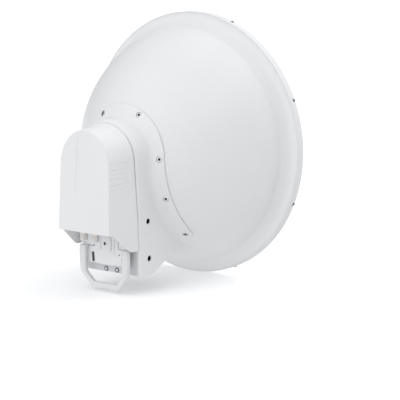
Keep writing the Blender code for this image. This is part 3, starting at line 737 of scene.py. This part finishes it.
def make_housing(finishes):
    """The arched shell, with a counterbore for each flange screw and a hole for each bracket insert."""
    shell = add_piece("mount_housing", loft(housing_loops(), FREE_EDGE), finishes["moulded_plastic"],
                      ("housing_shell",))
    reach = 0.004
    wide = COUNTERBORE_RADIUS
    counterbore = [(0, -COUNTERBORE_DEPTH), (wide, -COUNTERBORE_DEPTH), (wide, 0), (wide + reach, reach),
                   (0, reach)]
    cutters = []
    for x, z in flange_screw_points():
        cutters.append(add_object("cutter", turned(counterbore, ROUND_STEPS), at=on_flange(x, z),
                                  axis=bowl_normal(x, z)))
    hole = INSERT_RADIUS + GAP
    seat = [(0, -INSERT_LENGTH), (hole, -INSERT_LENGTH), (hole, -HOLE_CHAMFER), (hole + HOLE_CHAMFER, 0),
            (hole + HOLE_CHAMFER, HOLE_CHAMFER), (0, HOLE_CHAMFER)]
    for _, side, place in bracket_places():
        cutters.append(add_object("cutter", turned(seat, ROUND_STEPS), at=place, axis=(side, 0, 0)))
    bake(shell, cutters)


def darken(item, dark, inside, outside):
    """Give a turned piece a second finish within one radius of its axis, and beyond another; within, the dark
    finish is painted shade in the socket.
    """
    item.data.materials.append(dark)
    for face in item.data.polygons:
        radius = math.hypot(face.center.x, face.center.z)
        if radius < inside or radius > outside:
            face.material_index = 1


def make_flange_screws(finishes):
    """Washer-faced screws on rubber rings, deep in their counterbores, with hexagon sockets painted black as
    painted shade.
    """
    hair, chamfer = 0.0001, 0.0003
    seal, seal_rise = COUNTERBORE_RADIUS - hair, 0.0007
    washer, washer_rise = 0.0064, 0.0008
    head, head_rise, head_round = 0.0044, 0.0017, 0.0010
    socket, socket_depth = 0.0029, 0.0018
    floor = -COUNTERBORE_DEPTH
    top = floor + washer_rise + head_rise
    profile = [(0, floor), (seal, floor), (seal, floor + seal_rise), (washer + hair, floor + seal_rise),
               (washer, floor + washer_rise), (head, floor + washer_rise + hair)]
    profile += arc((head - head_round, top - head_round), head_round, 10, 90, 5)
    profile += [(socket + chamfer, top), (socket, top - chamfer), (socket, top - socket_depth),
                (0, top - socket_depth)]
    places = range(len(profile) - 4, len(profile) - 1)
    for number, (x, z) in enumerate(flange_screw_points(), 1):
        screw = add_piece("flange_screw_%d" % number, turned(profile, ROUND_STEPS, places),
                          finishes["bright_screw_steel"], at=on_flange(x, z),
                          axis=bowl_normal(x, z))
        # The socket's faces are painted black, painted shade in the recess; the ring beyond the washer takes
        # the same dark finish
        darken(screw, finishes["dark_plastic"], socket / math.cos(math.pi / 6), washer)


def make_rim_screws(finishes):
    """Dark button-head screws through the radome's band."""
    rise, seat, skirt, dome_steps = 0.0017, 0.0010, 0.0003, 5
    socket, socket_depth, flat, hair = 0.0016, 0.0011, 0.0006, 0.0001
    profile = [(0, -seat), (RIM_SCREW_RADIUS, -seat), (RIM_SCREW_RADIUS, skirt)]
    for i in range(1, dome_steps + 1):
        share = i / dome_steps
        profile.append((RIM_SCREW_RADIUS - (RIM_SCREW_RADIUS - socket - flat) * share,
                        skirt + (rise - skirt) * math.sin(math.pi / 2 * share)))
    profile += [(socket, rise - hair), (socket, rise - socket_depth), (0, rise - socket_depth)]
    places = range(len(profile) - 3, len(profile) - 1)
    angles = RIM_SCREW_ANGLES + tuple(360 - angle for angle in RIM_SCREW_ANGLES)
    for number, angle in enumerate(angles, 1):
        turn = math.radians(angle)
        outward = Vector((math.sin(turn), 0, math.cos(turn)))
        place = outward * RIM_RADIUS + Vector((0, RIM_SCREW_Y, 0))
        add_piece("rim_screw_%d" % number, turned(profile, SMALL_STEPS, places),
                  finishes["dark_screw_steel"], at=place, axis=outward)


def thread(radius, start, end, depth, pitch):
    """Crests and roots of a thread as a turned profile, from one height to another."""
    turns = max(1, round(abs(end - start) / pitch))
    run = (end - start) / turns
    points = []
    for i in range(turns):
        for share, rise in ((0.0, 0.0), (0.20, 0.0), (0.55, depth), (0.75, depth)):
            points.append((radius + rise, start + run * (i + share)))
    return points + [(radius, end)]


def make_bracket_inserts(finishes):
    """Threaded bushes in the side walls, in near-black steel: partly the bushes' own colour, partly painted
    shade that darkens the bores.
    """
    lead, lead_depth = 0.0005, 0.0006
    profile = [(INSERT_RADIUS, -INSERT_RECESS), (INSERT_RADIUS, -INSERT_LENGTH)]
    profile += thread(INSERT_BORE_RADIUS, -INSERT_LENGTH, -INSERT_RECESS - lead_depth, -THREAD_DEPTH,
                      THREAD_PITCH)
    profile.append((INSERT_BORE_RADIUS + lead, -INSERT_RECESS))
    for name, side, place in bracket_places():
        add_piece("threaded_insert_" + name, turned(profile, ROUND_STEPS), finishes["black_steel_and_bore_shade"],
                  ("bracket_insert_" + name,), at=place, axis=(side, 0, 0))


def cover_rear_y(z):
    return COVER_REAR_Y + COVER_REAR_LEAN * z


def past(value, softness):
    """Zero below nothing and the value itself above, with a soft turn between."""
    return (value + math.hypot(value, softness)) / 2


def cover_bottom(share):
    """Height of the cover's lower edge: level, a slope, level again, and a round corner at the seam."""
    slope = (COVER_BOTTOM_FRONT_Z - COVER_BOTTOM_REAR_Z) / (COVER_SLOPE_END - COVER_SLOPE_START)
    on_slope = (past(share - COVER_SLOPE_START, COVER_SLOPE_SOFTNESS)
                - past(share - COVER_SLOPE_END, COVER_SLOPE_SOFTNESS))
    corner = max(0.0, (share - COVER_CORNER_START) / (1 - COVER_CORNER_START))
    rise = COVER_CORNER_RISE * (1 - math.sqrt(1 - min(corner, 1.0) ** 2))
    return COVER_BOTTOM_REAR_Z + slope * on_slope + rise


def cover_arch(share):
    """Half width, rise and spring height of the cover's arch at a share of its depth."""
    half = COVER_REAR_HALF + (COVER_FRONT_HALF - COVER_REAR_HALF) * share
    rise = COVER_REAR_RISE + (COVER_FRONT_RISE - COVER_REAR_RISE) * share
    spring = COVER_REAR_SPRING + (COVER_FRONT_SPRING - COVER_REAR_SPRING) * share
    return half, rise, spring


def cover_half(share, z):
    """Half width of the cover at a height."""
    half, rise, spring = cover_arch(share)
    if z < spring:
        return half + COVER_SPLAY * (spring - z)
    return half * math.sqrt(1 - ((z - spring) / rise) ** 2)


def lip_rise(share, z):
    """How far the lip along the seam stands proud: its edge leans, and it ends above the lower corner."""
    down = (LIP_TOP_Z - z) / (LIP_TOP_Z - LIP_END_Z)
    start = LIP_TOP_SHARE + (LIP_LOW_SHARE - LIP_TOP_SHARE) * down
    return COVER_LIP * smooth_step((share - start) / LIP_STEP) * smooth_step((z - LIP_END_Z) / LIP_FADE)


def cover_front_y(z):
    """The cover's front edge: it stops short of the housing, less so over the top of the arch."""
    narrowed = smooth_step((z - SEAM_NARROW_Z) / SEAM_NARROW_RUN)
    return seam_y(z) - SEAM_GAP_LOW - (SEAM_GAP_TOP - SEAM_GAP_LOW) * narrowed


def cover_point(share, x, z):
    """A point of the cover's outer skin, between its leaning rear face and its front edge."""
    rear = cover_rear_y(z)
    return (x, rear + (cover_front_y(z) - rear) * share, z)


def cover_line(share, inset):
    """The cover's outline at a share of its depth, from the left foot over the arch to the right foot."""
    half, rise, spring = cover_arch(share)
    bottom = cover_bottom(share)

    def side(direction, step):
        z = spring + (bottom - spring) * step / SIDE_STEPS
        return cover_point(share, direction * (cover_half(share, z) - inset + lip_rise(share, z)), z)

    left = [side(-1, step) for step in range(SIDE_STEPS, 0, -1)]
    top = []
    for step in range(ARCH_STEPS + 1):
        _, height = arch_point(half, spring, step, rise)
        proud = lip_rise(share, height) - inset
        x, z = arch_point(half + proud, spring, step, rise + proud)
        top.append(cover_point(share, x, z))
    right = [side(1, step) for step in range(1, SIDE_STEPS + 1)]
    return left + top + right


def cover_stations():
    """Shares of the depth with the outline's inset: the round rear edge, the side, the lip and the corner."""
    depth = SEAM_Y - COVER_REAR_Y
    rear_inset, round_steps, lip_steps = 0.0012, 6, 50
    turns = [math.pi / 2 * i / round_steps for i in range(round_steps + 1)]
    stations = [(0.0, COVER_ROUND + rear_inset)]
    for turn in turns:
        stations.append((COVER_ROUND * (1 - math.cos(turn)) / depth, COVER_ROUND * (1 - math.sin(turn))))
    side = [0.08, 0.11, 0.14, 0.17, 0.21, 0.30, 0.40, 0.50, 0.60]
    first, last = 0.67, 0.92
    lip = [first + (last - first) * i / lip_steps for i in range(lip_steps + 1)]
    corner = [COVER_CORNER_START + (1 - COVER_CORNER_START) * math.sin(turn) for turn in turns]
    return stations + [(share, 0.0) for share in side + lip + corner]


def make_vent_cutters():
    """Round bars that graze the cover's two sides, one for each shallow groove."""
    cutters = []
    low, high = VENT_HEIGHTS[-1], VENT_HEIGHTS[0]
    for side in (1, -1):
        for z in VENT_HEIGHTS:
            fall = (high - z) / (high - low)
            front_y = VENT_FRONT_TOP_Y + (VENT_FRONT_LOW_Y - VENT_FRONT_TOP_Y) * fall
            ends = []
            for y, climb in ((VENT_REAR_Y, 0.0), (front_y, VENT_CLIMB)):
                share = (y - cover_rear_y(z)) / (cover_front_y(z) - cover_rear_y(z))
                half = cover_half(share, z + climb)
                ends.append(Vector((side * (half + VENT_RADIUS - VENT_DEPTH), y, z + climb)))
            run = ends[1] - ends[0]
            profile = [(0, -VENT_RADIUS)] + arc((0, 0), VENT_RADIUS, -60, 0, 3)
            profile += arc((0, run.length), VENT_RADIUS, 0, 60, 3) + [(0, run.length + VENT_RADIUS)]
            cutters.append(add_object("cutter", turned(profile, BAR_STEPS), at=ends[0], axis=run))
    return cutters


def make_crease_cutter():
    """A thin wedge that runs down the rear face and comes out of it at its foot."""
    reach, shoulder = 0.001, 0.2
    loops = []
    for place, (x, z) in enumerate(CREASE):
        depth = 0.0 if place == len(CREASE) - 1 else CREASE_DEPTH
        face = cover_rear_y(z)
        left, right = x - CREASE_HALF, x + CREASE_HALF
        loops.append([(left, face - reach, z), (left, face + depth * shoulder, z), (x, face + depth, z),
                      (right, face + depth * shoulder, z), (right, face - reach, z)])
    return add_object("cutter", loft(loops))


def make_cover(finishes):
    """The radio's cover: an arched shell, open below and towards the housing."""
    bm = bmesh.new()
    rows = [[bm.verts.new(point) for point in cover_line(share, inset)] for share, inset in cover_stations()]
    rear = bm.faces.new(rows[0])
    for near, far in zip(rows, rows[1:]):
        for i in range(len(near) - 1):
            bm.faces.new((near[i], near[i + 1], far[i + 1], far[i]))
    bmesh.ops.recalc_face_normals(bm, faces=bm.faces)
    if rear.normal.y > 0:
        bmesh.ops.reverse_faces(bm, faces=bm.faces)
    bm.faces.ensure_lookup_table()
    mesh = bpy.data.meshes.new("radio_cover_shell")
    bm.to_mesh(mesh)
    bm.free()
    mesh.materials.append(finishes["moulded_plastic"])
    shell = link_object("radio_cover_shell", mesh)
    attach(shell, "root")
    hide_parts("radio_cover")
    wall = shell.modifiers.new("wall", "SOLIDIFY")
    wall.thickness = COVER_SKIN
    wall.offset = -1
    wall.use_even_offset = True
    soft_edges = soften(shell, FREE_EDGE, angle=60)
    soft_edges.harden_normals = False
    bake(shell, make_vent_cutters() + [make_crease_cutter()])


def make_cover_seal(finishes):
    """A rubber lip that follows the cover's edge against the housing, inside its wall; its near-black rubber
    also serves as painted shade that darkens the seam.
    """
    loops = []
    inner = cover_line(1.0, SEAL_INSET + SEAL_WIDTH)
    for (x_out, _, z_out), (x_in, _, z_in) in zip(cover_line(1.0, SEAL_INSET), inner):
        front_out, front_in = seam_y(z_out) - GAP, seam_y(z_in) - GAP
        loops.append([(x_out, front_out - SEAL_SKIN, z_out), (x_out, front_out, z_out),
                      (x_in, front_in, z_in), (x_in, front_in - SEAL_SKIN, z_in)])
    add_piece("cover_seal", loft(loops), finishes["rubber_seal_and_gap_shade"], ("cover_gasket",))


def make_connectors(finishes):
    """Threaded sockets under the radio, with an insulator and a centre contact in each."""
    down = (0, 0, -1)
    outer, bore, length = CONNECTOR_RADIUS, CONNECTOR_BORE_RADIUS, CONNECTOR_LENGTH
    floor = length - CONNECTOR_SOCKET_DEPTH
    collar, groove, relief = 0.0065, 0.0012, 0.0008
    root, lead, crest, pitch, tip = 0.0010, 0.0012, 0.0008, 0.0011, 0.0016
    flare, flare_depth = 0.0002, 0.0006
    profile = [(0, 0), (outer, 0), (outer, collar), (outer - groove, collar)]
    profile += thread(outer - root, collar + relief, length - lead, crest, pitch)
    profile += [(outer - tip, length), (bore + flare, length), (bore - flare, length - flare_depth),
                (bore, floor), (0, floor)]
    insulator = [(radius, floor + y) for radius, y in SOCKET_INSULATOR]
    contact = [(radius, floor + y) for radius, y in SOCKET_CONTACT]
    for name, side in (("left", -1), ("right", 1)):
        place = (side * CONNECTOR_X, CONNECTOR_Y, BODY_BOTTOM_Z - GAP)
        add_piece("coaxial_socket_" + name, turned(profile, ROUND_STEPS), finishes["nickel_plating"],
                  ("connector_" + name,), at=place, axis=down, smooth=25)
        add_piece("socket_insulator_" + name, turned(insulator, ROUND_STEPS), finishes["white_insulator"],
                  at=place, axis=down)
        add_piece("socket_contact_" + name, turned(contact, CONTACT_STEPS), finishes["gold_contact"],
                  at=place, axis=down)


def stadium(half, height, steps=12):
    """An upright slot outline with round ends, centred on the origin."""
    straight = height / 2 - half
    points = []
    for end in (1, -1):
        for step in range(steps + 1):
            angle = math.pi * step / steps
            points.append((end * half * math.cos(angle), end * (straight + half * math.sin(angle))))
    return points


def slab(outline, y_rear, y_front, edge=0.0):
    return loft([[(x, y_rear, z) for x, z in outline], [(x, y_front, z) for x, z in outline]], edge)


def rectangle(left, right, low, high):
    return [(left, low), (right, low), (right, high), (left, high)]


def make_port_panel(finishes):
    """The moulded panel: a raised middle with round feet, a channel beside each handle arm, and its slots."""
    shape = [(PANEL_HALF, BODY_BOTTOM_Z - GAP), (PANEL_HALF, PANEL_SHOULDER_Z),
             (PANEL_FOOT_HALF, PANEL_FOOT_TOP_Z), (PANEL_FOOT_HALF, PANEL_BOTTOM_Z)]
    outline = shape + [(-x, z) for x, z in shape[::-1]]
    loops = [[(x, PANEL_REAR_Y, z) for x, z in outline], [(x, seam_y(z) - GAP, z) for x, z in outline]]
    # The panel's plastic is a little lighter, painted light against the shade under the cover
    panel = add_piece("moulded_port_panel", loft(loops), finishes["inner_plastic_painted_light"],
                      ("port_panel",))
    reach = 0.004

    def pocket(points, depth):
        return add_object("cutter", slab(points, PANEL_REAR_Y - reach, PANEL_REAR_Y + depth))

    cutters = []
    middle, low, foot_steps = PANEL_MIDDLE_HALF, PANEL_MIDDLE_BOTTOM_Z, 3
    below = PANEL_BOTTOM_Z - reach
    foot = rounded_corner((middle, CHANNEL_TOP_Z), (middle, low), (0, low), PANEL_MIDDLE_ROUND, foot_steps)
    channel = [(middle, CHANNEL_TOP_Z), *foot, (middle / 2, low), (middle / 2, below),
               (CHANNEL_END_HALF, below), (CHANNEL_END_HALF, CHANNEL_TOP_Z)]
    for side in (1, -1):
        cutters.append(pocket([(side * x, z) for x, z in channel], CHANNEL_DEPTH))
        across = sorted((side * (EAR_HALF - EAR_GROOVE / 2), side * HANDLE_INNER_HALF))
        cutters.append(pocket(rectangle(*across, EAR_TOP_Z, EAR_TOP_Z + EAR_GROOVE), SLOT_DEPTH))
        upright = side * EAR_HALF
        cutters.append(pocket(rectangle(upright - EAR_GROOVE / 2, upright + EAR_GROOVE / 2,
                                        EAR_TOP_Z + EAR_GROOVE + GAP, EAR_CLIMB_Z), SLOT_DEPTH))
    for x, high, foot_z in HINGE_SLOTS:
        cutters.append(pocket(rectangle(x - HINGE_SLOT_HALF, x + HINGE_SLOT_HALF, foot_z, high), SLOT_DEPTH))
    hole_x, hole_z = PANEL_HOLE
    hole = [(0, -reach), (PANEL_HOLE_RADIUS, -reach), (PANEL_HOLE_RADIUS, SLOT_DEPTH), (0, SLOT_DEPTH)]
    cutters.append(add_object("cutter", turned(hole, HOLE_STEPS), at=(hole_x, PANEL_REAR_Y, hole_z)))
    bake(panel, cutters)


def make_port_door(finishes):
    """The door over the ports, with a moat round the plug."""
    edge, reach, moat = 0.0003, 0.002, 0.0011
    rear = PANEL_REAR_Y - GAP - DOOR_SKIN
    front = PANEL_REAR_Y - GAP
    outline = rectangle(DOOR_X - DOOR_HALF, DOOR_X + DOOR_HALF, DOOR_BOTTOM_Z, DOOR_TOP_Z)
    # The door's plastic is a little lighter, painted light against the shade under the cover
    door = add_piece("hinged_port_door", slab(outline, rear, front), finishes["inner_plastic_painted_light"],
                     ("port_door",))
    soften(door, edge)
    outer = [(PLUG_X + x, PLUG_Z + z) for x, z in stadium(PLUG_HALF + moat, PLUG_HEIGHT + 2 * moat)]
    bake(door, [add_object("cutter", slab(outer, rear - reach, front + reach))])


def make_handle(finishes):
    """The carrying loop, rounded in section, with a slightly thicker collar at the top of each arm."""
    steps, grip_steps, end_round = 10, 5, 0.0008
    grip_share, inner_grip_share = 0.84, 0.8
    fade, bulge_reach, upper_z, lower_z = 0.0014, 0.004, -0.2235, -0.2545
    bulge_half, bulge_z = HANDLE_BULGE
    knee_half, knee_z = HANDLE_KNEE
    inner_foot_half, inner_foot_z = HANDLE_INNER_FOOT
    grip_end = (HANDLE_GRIP_HALF, HANDLE_GRIP_Z - HANDLE_GRIP_SAG)
    inner_top = (HANDLE_INNER_HALF, HANDLE_TOP_Z)
    inner_knee = (HANDLE_INNER_HALF, HANDLE_INNER_KNEE_Z)
    inner_end = (0.0, inner_foot_z)
    heights = [HANDLE_TOP_Z, upper_z]
    heights += [HANDLE_COLLAR_Z + fade * share for share in (1, 0.5, 0, -0.5, -1)]
    heights += [bulge_z + bulge_reach, bulge_z, bulge_z - bulge_reach, lower_z, HANDLE_LEAN_START_Z]
    outer, inner, swell = [], [], []
    for z in heights:
        above = (HANDLE_TOP_Z - z) / (HANDLE_TOP_Z - bulge_z)
        below = (z - bulge_z) / (knee_z - bulge_z)
        if z > bulge_z:
            half = HANDLE_TOP_HALF + (bulge_half - HANDLE_TOP_HALF) * math.sin(math.pi / 2 * above)
        else:
            half = bulge_half + (knee_half - bulge_half) * below
        outer.append((half, z))
        inner.append((HANDLE_INNER_HALF, z))
        swell.append(HANDLE_COLLAR_RISE * smooth_step((z - HANDLE_COLLAR_Z) / (2 * fade) + 0.5))
    outer += rounded_corner(HANDLE_BULGE, HANDLE_KNEE, HANDLE_FOOT, HANDLE_KNEE_ROUND, steps)
    outer += rounded_corner(HANDLE_KNEE, HANDLE_FOOT, grip_end, HANDLE_FOOT_ROUND, steps)
    inner += rounded_corner(inner_top, inner_knee, HANDLE_INNER_FOOT, HANDLE_INNER_KNEE_ROUND, steps)
    inner += rounded_corner(inner_knee, HANDLE_INNER_FOOT, inner_end, HANDLE_INNER_FOOT_ROUND, steps)
    for i in range(grip_steps, -1, -1):
        share = grip_share * i / grip_steps
        outer.append((HANDLE_GRIP_HALF * share, HANDLE_GRIP_Z - HANDLE_GRIP_SAG * share ** 2))
        inner.append((inner_foot_half * share * inner_grip_share, inner_foot_z))
    swell += [0.0] * (len(outer) - len(swell))
    half_loops = [handle_section(out, within, rise) for out, within, rise in zip(outer, inner, swell)]
    mirrored = [[(-x, y, z) for x, y, z in loop] for loop in half_loops[-2::-1]]
    add_piece("carrying_handle", loft(half_loops + mirrored, end_round), finishes["handle_plastic"],
              ("handle",), smooth=40)


def handle_section(out, within, swell):
    """A rounded rectangle across the loop, from its outer line to its inner line."""
    corner_steps = 5
    out, within = Vector(out), Vector(within)
    across = (out - within).normalized()
    width = (out - within).length
    corners = ((width - HANDLE_EDGE, HANDLE_EDGE, -90), (width - HANDLE_EDGE, HANDLE_DEPTH - HANDLE_EDGE, 0),
               (HANDLE_EDGE, HANDLE_DEPTH - HANDLE_EDGE, 90), (HANDLE_EDGE, HANDLE_EDGE, 180))
    loop = []
    for along, depth, start in corners:
        for i in range(corner_steps + 1):
            angle = math.radians(start + 90 * i / corner_steps)
            reach_x = along + HANDLE_EDGE * math.cos(angle)
            reach_y = depth + HANDLE_EDGE * math.sin(angle)
            if reach_y < HANDLE_DEPTH / 2:
                reach_y -= swell
            if reach_x < width / 2:
                reach_x -= swell
            flat = within + across * reach_x
            lean = HANDLE_LEAN * max(0.0, HANDLE_LEAN_START_Z - flat.y)
            loop.append((flat.x, HANDLE_REAR_Y + lean + reach_y, flat.y))
    return loop


def make_captive_screws(finishes):
    """Socket screws held in two ring bosses on the rear plate."""
    tilt = math.atan(-SEAM_LEAN)
    outward = Vector((0, -math.cos(tilt), -math.sin(tilt)))
    bore, lead, height, edge = 0.0042, 0.0003, 0.0025, 0.0004
    ring = [(bore, height - edge), (bore + lead, height), (BOSS_RADIUS - edge, height),
            (BOSS_RADIUS, height - edge), (BOSS_RADIUS, 0), (bore, 0)]
    head, head_edge, seat, rise = 0.0034, 0.0005, 0.0002, 0.0024
    socket, socket_depth = 0.0013, 0.0012
    profile = [(0, seat), (head, seat), (head, rise - head_edge), (head - head_edge, rise), (socket, rise),
               (socket, rise - socket_depth), (0, rise - socket_depth)]
    places = range(len(profile) - 3, len(profile) - 1)
    for name, side in (("left", -1), ("right", 1)):
        place = Vector((side * BOSS_X, seam_y(BOSS_Z) - GAP, BOSS_Z))
        add_piece("captive_ring_" + name, turned(ring, ROUND_STEPS), finishes["dark_screw_steel"],
                  ("captive_boss_" + name,), at=place, axis=outward)
        add_piece("captive_screw_" + name, turned(profile, SMALL_STEPS, places),
                  finishes["bright_screw_steel"], at=place, axis=outward)


def dress_solids(finishes):
    """Finish the solids that keep their own shape, each with a finish and the width of its soft edges."""
    looks = {
        # The rear plate takes the darker plastic, painted shade for its place under the cover
        "housing_rear_plate": ("plate_plastic_painted_shade", 0.0006), "radio_body": ("inner_plastic_painted_light", 0.0012),
        # Body and plug take the lighter inner plastic, painted light against the shade under the cover
        "data_port_plug": ("inner_plastic_painted_light", 0.0005), "indicator_window": ("dark_plastic", 0.0001),
        # Window and latch are dark plastic; the same finish is painted shade in the screw sockets
        "door_latch": ("dark_plastic", 0.0001), "hub_ring": ("powder_coat", 0.0006),
        "feed_boom": ("turned_steel", 0.0004), "feed_head": ("moulded_plastic", 0.0006),
        "connector_nut_left": ("nickel_plating", 0.0004), "connector_nut_right": ("nickel_plating", 0.0004),
    }
    for name, (look, edge) in looks.items():
        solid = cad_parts[name]
        solid.data.materials.clear()
        solid.data.materials.append(finishes[look])
        solid.data.shade_smooth()
        solid.data.set_sharp_from_angle(angle=math.radians(CRISP_ANGLE))
        soften(solid, edge)


# Studio


def make_camera():
    ahead = Vector((-math.sin(CAMERA_AZIMUTH) * math.cos(CAMERA_ELEVATION),
                    math.cos(CAMERA_AZIMUTH) * math.cos(CAMERA_ELEVATION), -math.sin(CAMERA_ELEVATION)))
    right = Vector((math.cos(CAMERA_AZIMUTH), math.sin(CAMERA_AZIMUTH), 0))
    above = right.cross(ahead)
    lens = bpy.data.cameras.new("camera")
    lens.lens = CAMERA_LENS
    lens.clip_end = 200
    camera = link_object("camera", lens)
    place = DISH - ahead * CAMERA_DISTANCE + right * CAMERA_ASIDE - above * CAMERA_BELOW
    camera.matrix_world = Matrix.Translation(place) @ Matrix((right, above, -ahead)).transposed().to_4x4()
    bpy.context.scene.camera = camera


def math_node(tree, operation, first, second):
    """One step of arithmetic; each value is a number or another node's output."""
    made = tree.nodes.new("ShaderNodeMath")
    made.operation = operation
    for value, socket in zip((first, second), made.inputs):
        if isinstance(value, bpy.types.NodeSocket):
            tree.links.new(value, socket)
        else:
            socket.default_value = value
    return made.outputs["Value"]


def soft_box(tree, place, bearing, height, power, strength):
    """Light from a broad patch of the studio: a cosine about its direction, raised to a power."""
    turn, climb = math.radians(bearing), math.radians(height)
    aim = (math.sin(turn) * math.cos(climb), math.cos(turn) * math.cos(climb), math.sin(climb))
    cosine = tree.nodes.new("ShaderNodeVectorMath")
    cosine.operation = "DOT_PRODUCT"
    cosine.inputs[1].default_value = aim
    tree.links.new(place, cosine.inputs[0])
    facing = math_node(tree, "MAXIMUM", cosine.outputs["Value"], 0.0)
    shaped = math_node(tree, "POWER", facing, power)
    return math_node(tree, "MULTIPLY", shaped, strength)


def make_world():
    """Two broad lights, fainter ones overhead and below, and an even level; the camera sees white."""
    world = bpy.data.worlds.new("studio")
    world.use_nodes = True
    tree = world.node_tree
    light = tree.nodes["Background"]
    place = tree.nodes.new("ShaderNodeTexCoord").outputs["Generated"]
    total = STUDIO_LEVEL
    for patch in SOFT_BOXES:
        total = math_node(tree, "ADD", soft_box(tree, place, *patch), total)
    tree.links.new(total, light.inputs["Strength"])
    light.inputs["Color"].default_value = LIGHT_TINT
    white = tree.nodes.new("ShaderNodeBackground")
    white.inputs["Strength"].default_value = BACKDROP_LEVEL
    white.inputs["Color"].default_value = WHITE
    seen = tree.nodes.new("ShaderNodeLightPath")
    mix = tree.nodes.new("ShaderNodeMixShader")
    tree.links.new(seen.outputs["Is Camera Ray"], mix.inputs["Fac"])
    tree.links.new(light.outputs["Background"], mix.inputs[1])
    tree.links.new(white.outputs["Background"], mix.inputs[2])
    tree.links.new(mix.outputs["Shader"], tree.nodes["World Output"].inputs["Surface"])
    bpy.context.scene.world = world


def make_studio():
    """The world's light and a paper floor under the rim, which glows a little and mirrors nothing."""
    make_world()
    bm = bmesh.new()
    bmesh.ops.create_grid(bm, x_segments=1, y_segments=1, size=FLOOR_REACH)
    mesh = bpy.data.meshes.new("floor")
    bm.to_mesh(mesh)
    bm.free()
    floor = link_object("floor", mesh, at=(0, 0, -RIM_RADIUS))
    floor.visible_diffuse = False
    floor.visible_shadow = False
    paper = finish("floor_sweep", ((0.93, 0.93, 0.93), (0.945, 0.945, 0.945)), (0.6, 0.7), 3.0,
                   relief=(0.0, 0.0001))
    shader = paper.node_tree.nodes["Principled BSDF"]
    shader.inputs["Specular IOR Level"].default_value = 0.0
    shader.inputs["Emission Color"].default_value = WHITE
    shader.inputs["Emission Strength"].default_value = FLOOR_GLOW
    mesh.materials.append(paper)
    bpy.context.scene.view_settings.view_transform = "Standard"


make_camera()
FINISHES = make_finishes()
for make in (make_reflector, make_radome, make_housing, make_flange_screws, make_rim_screws,
             make_bracket_inserts, make_cover, make_cover_seal, make_connectors, make_port_panel,
             make_port_door, make_handle, make_captive_screws, dress_solids):
    make(FINISHES)
make_studio()
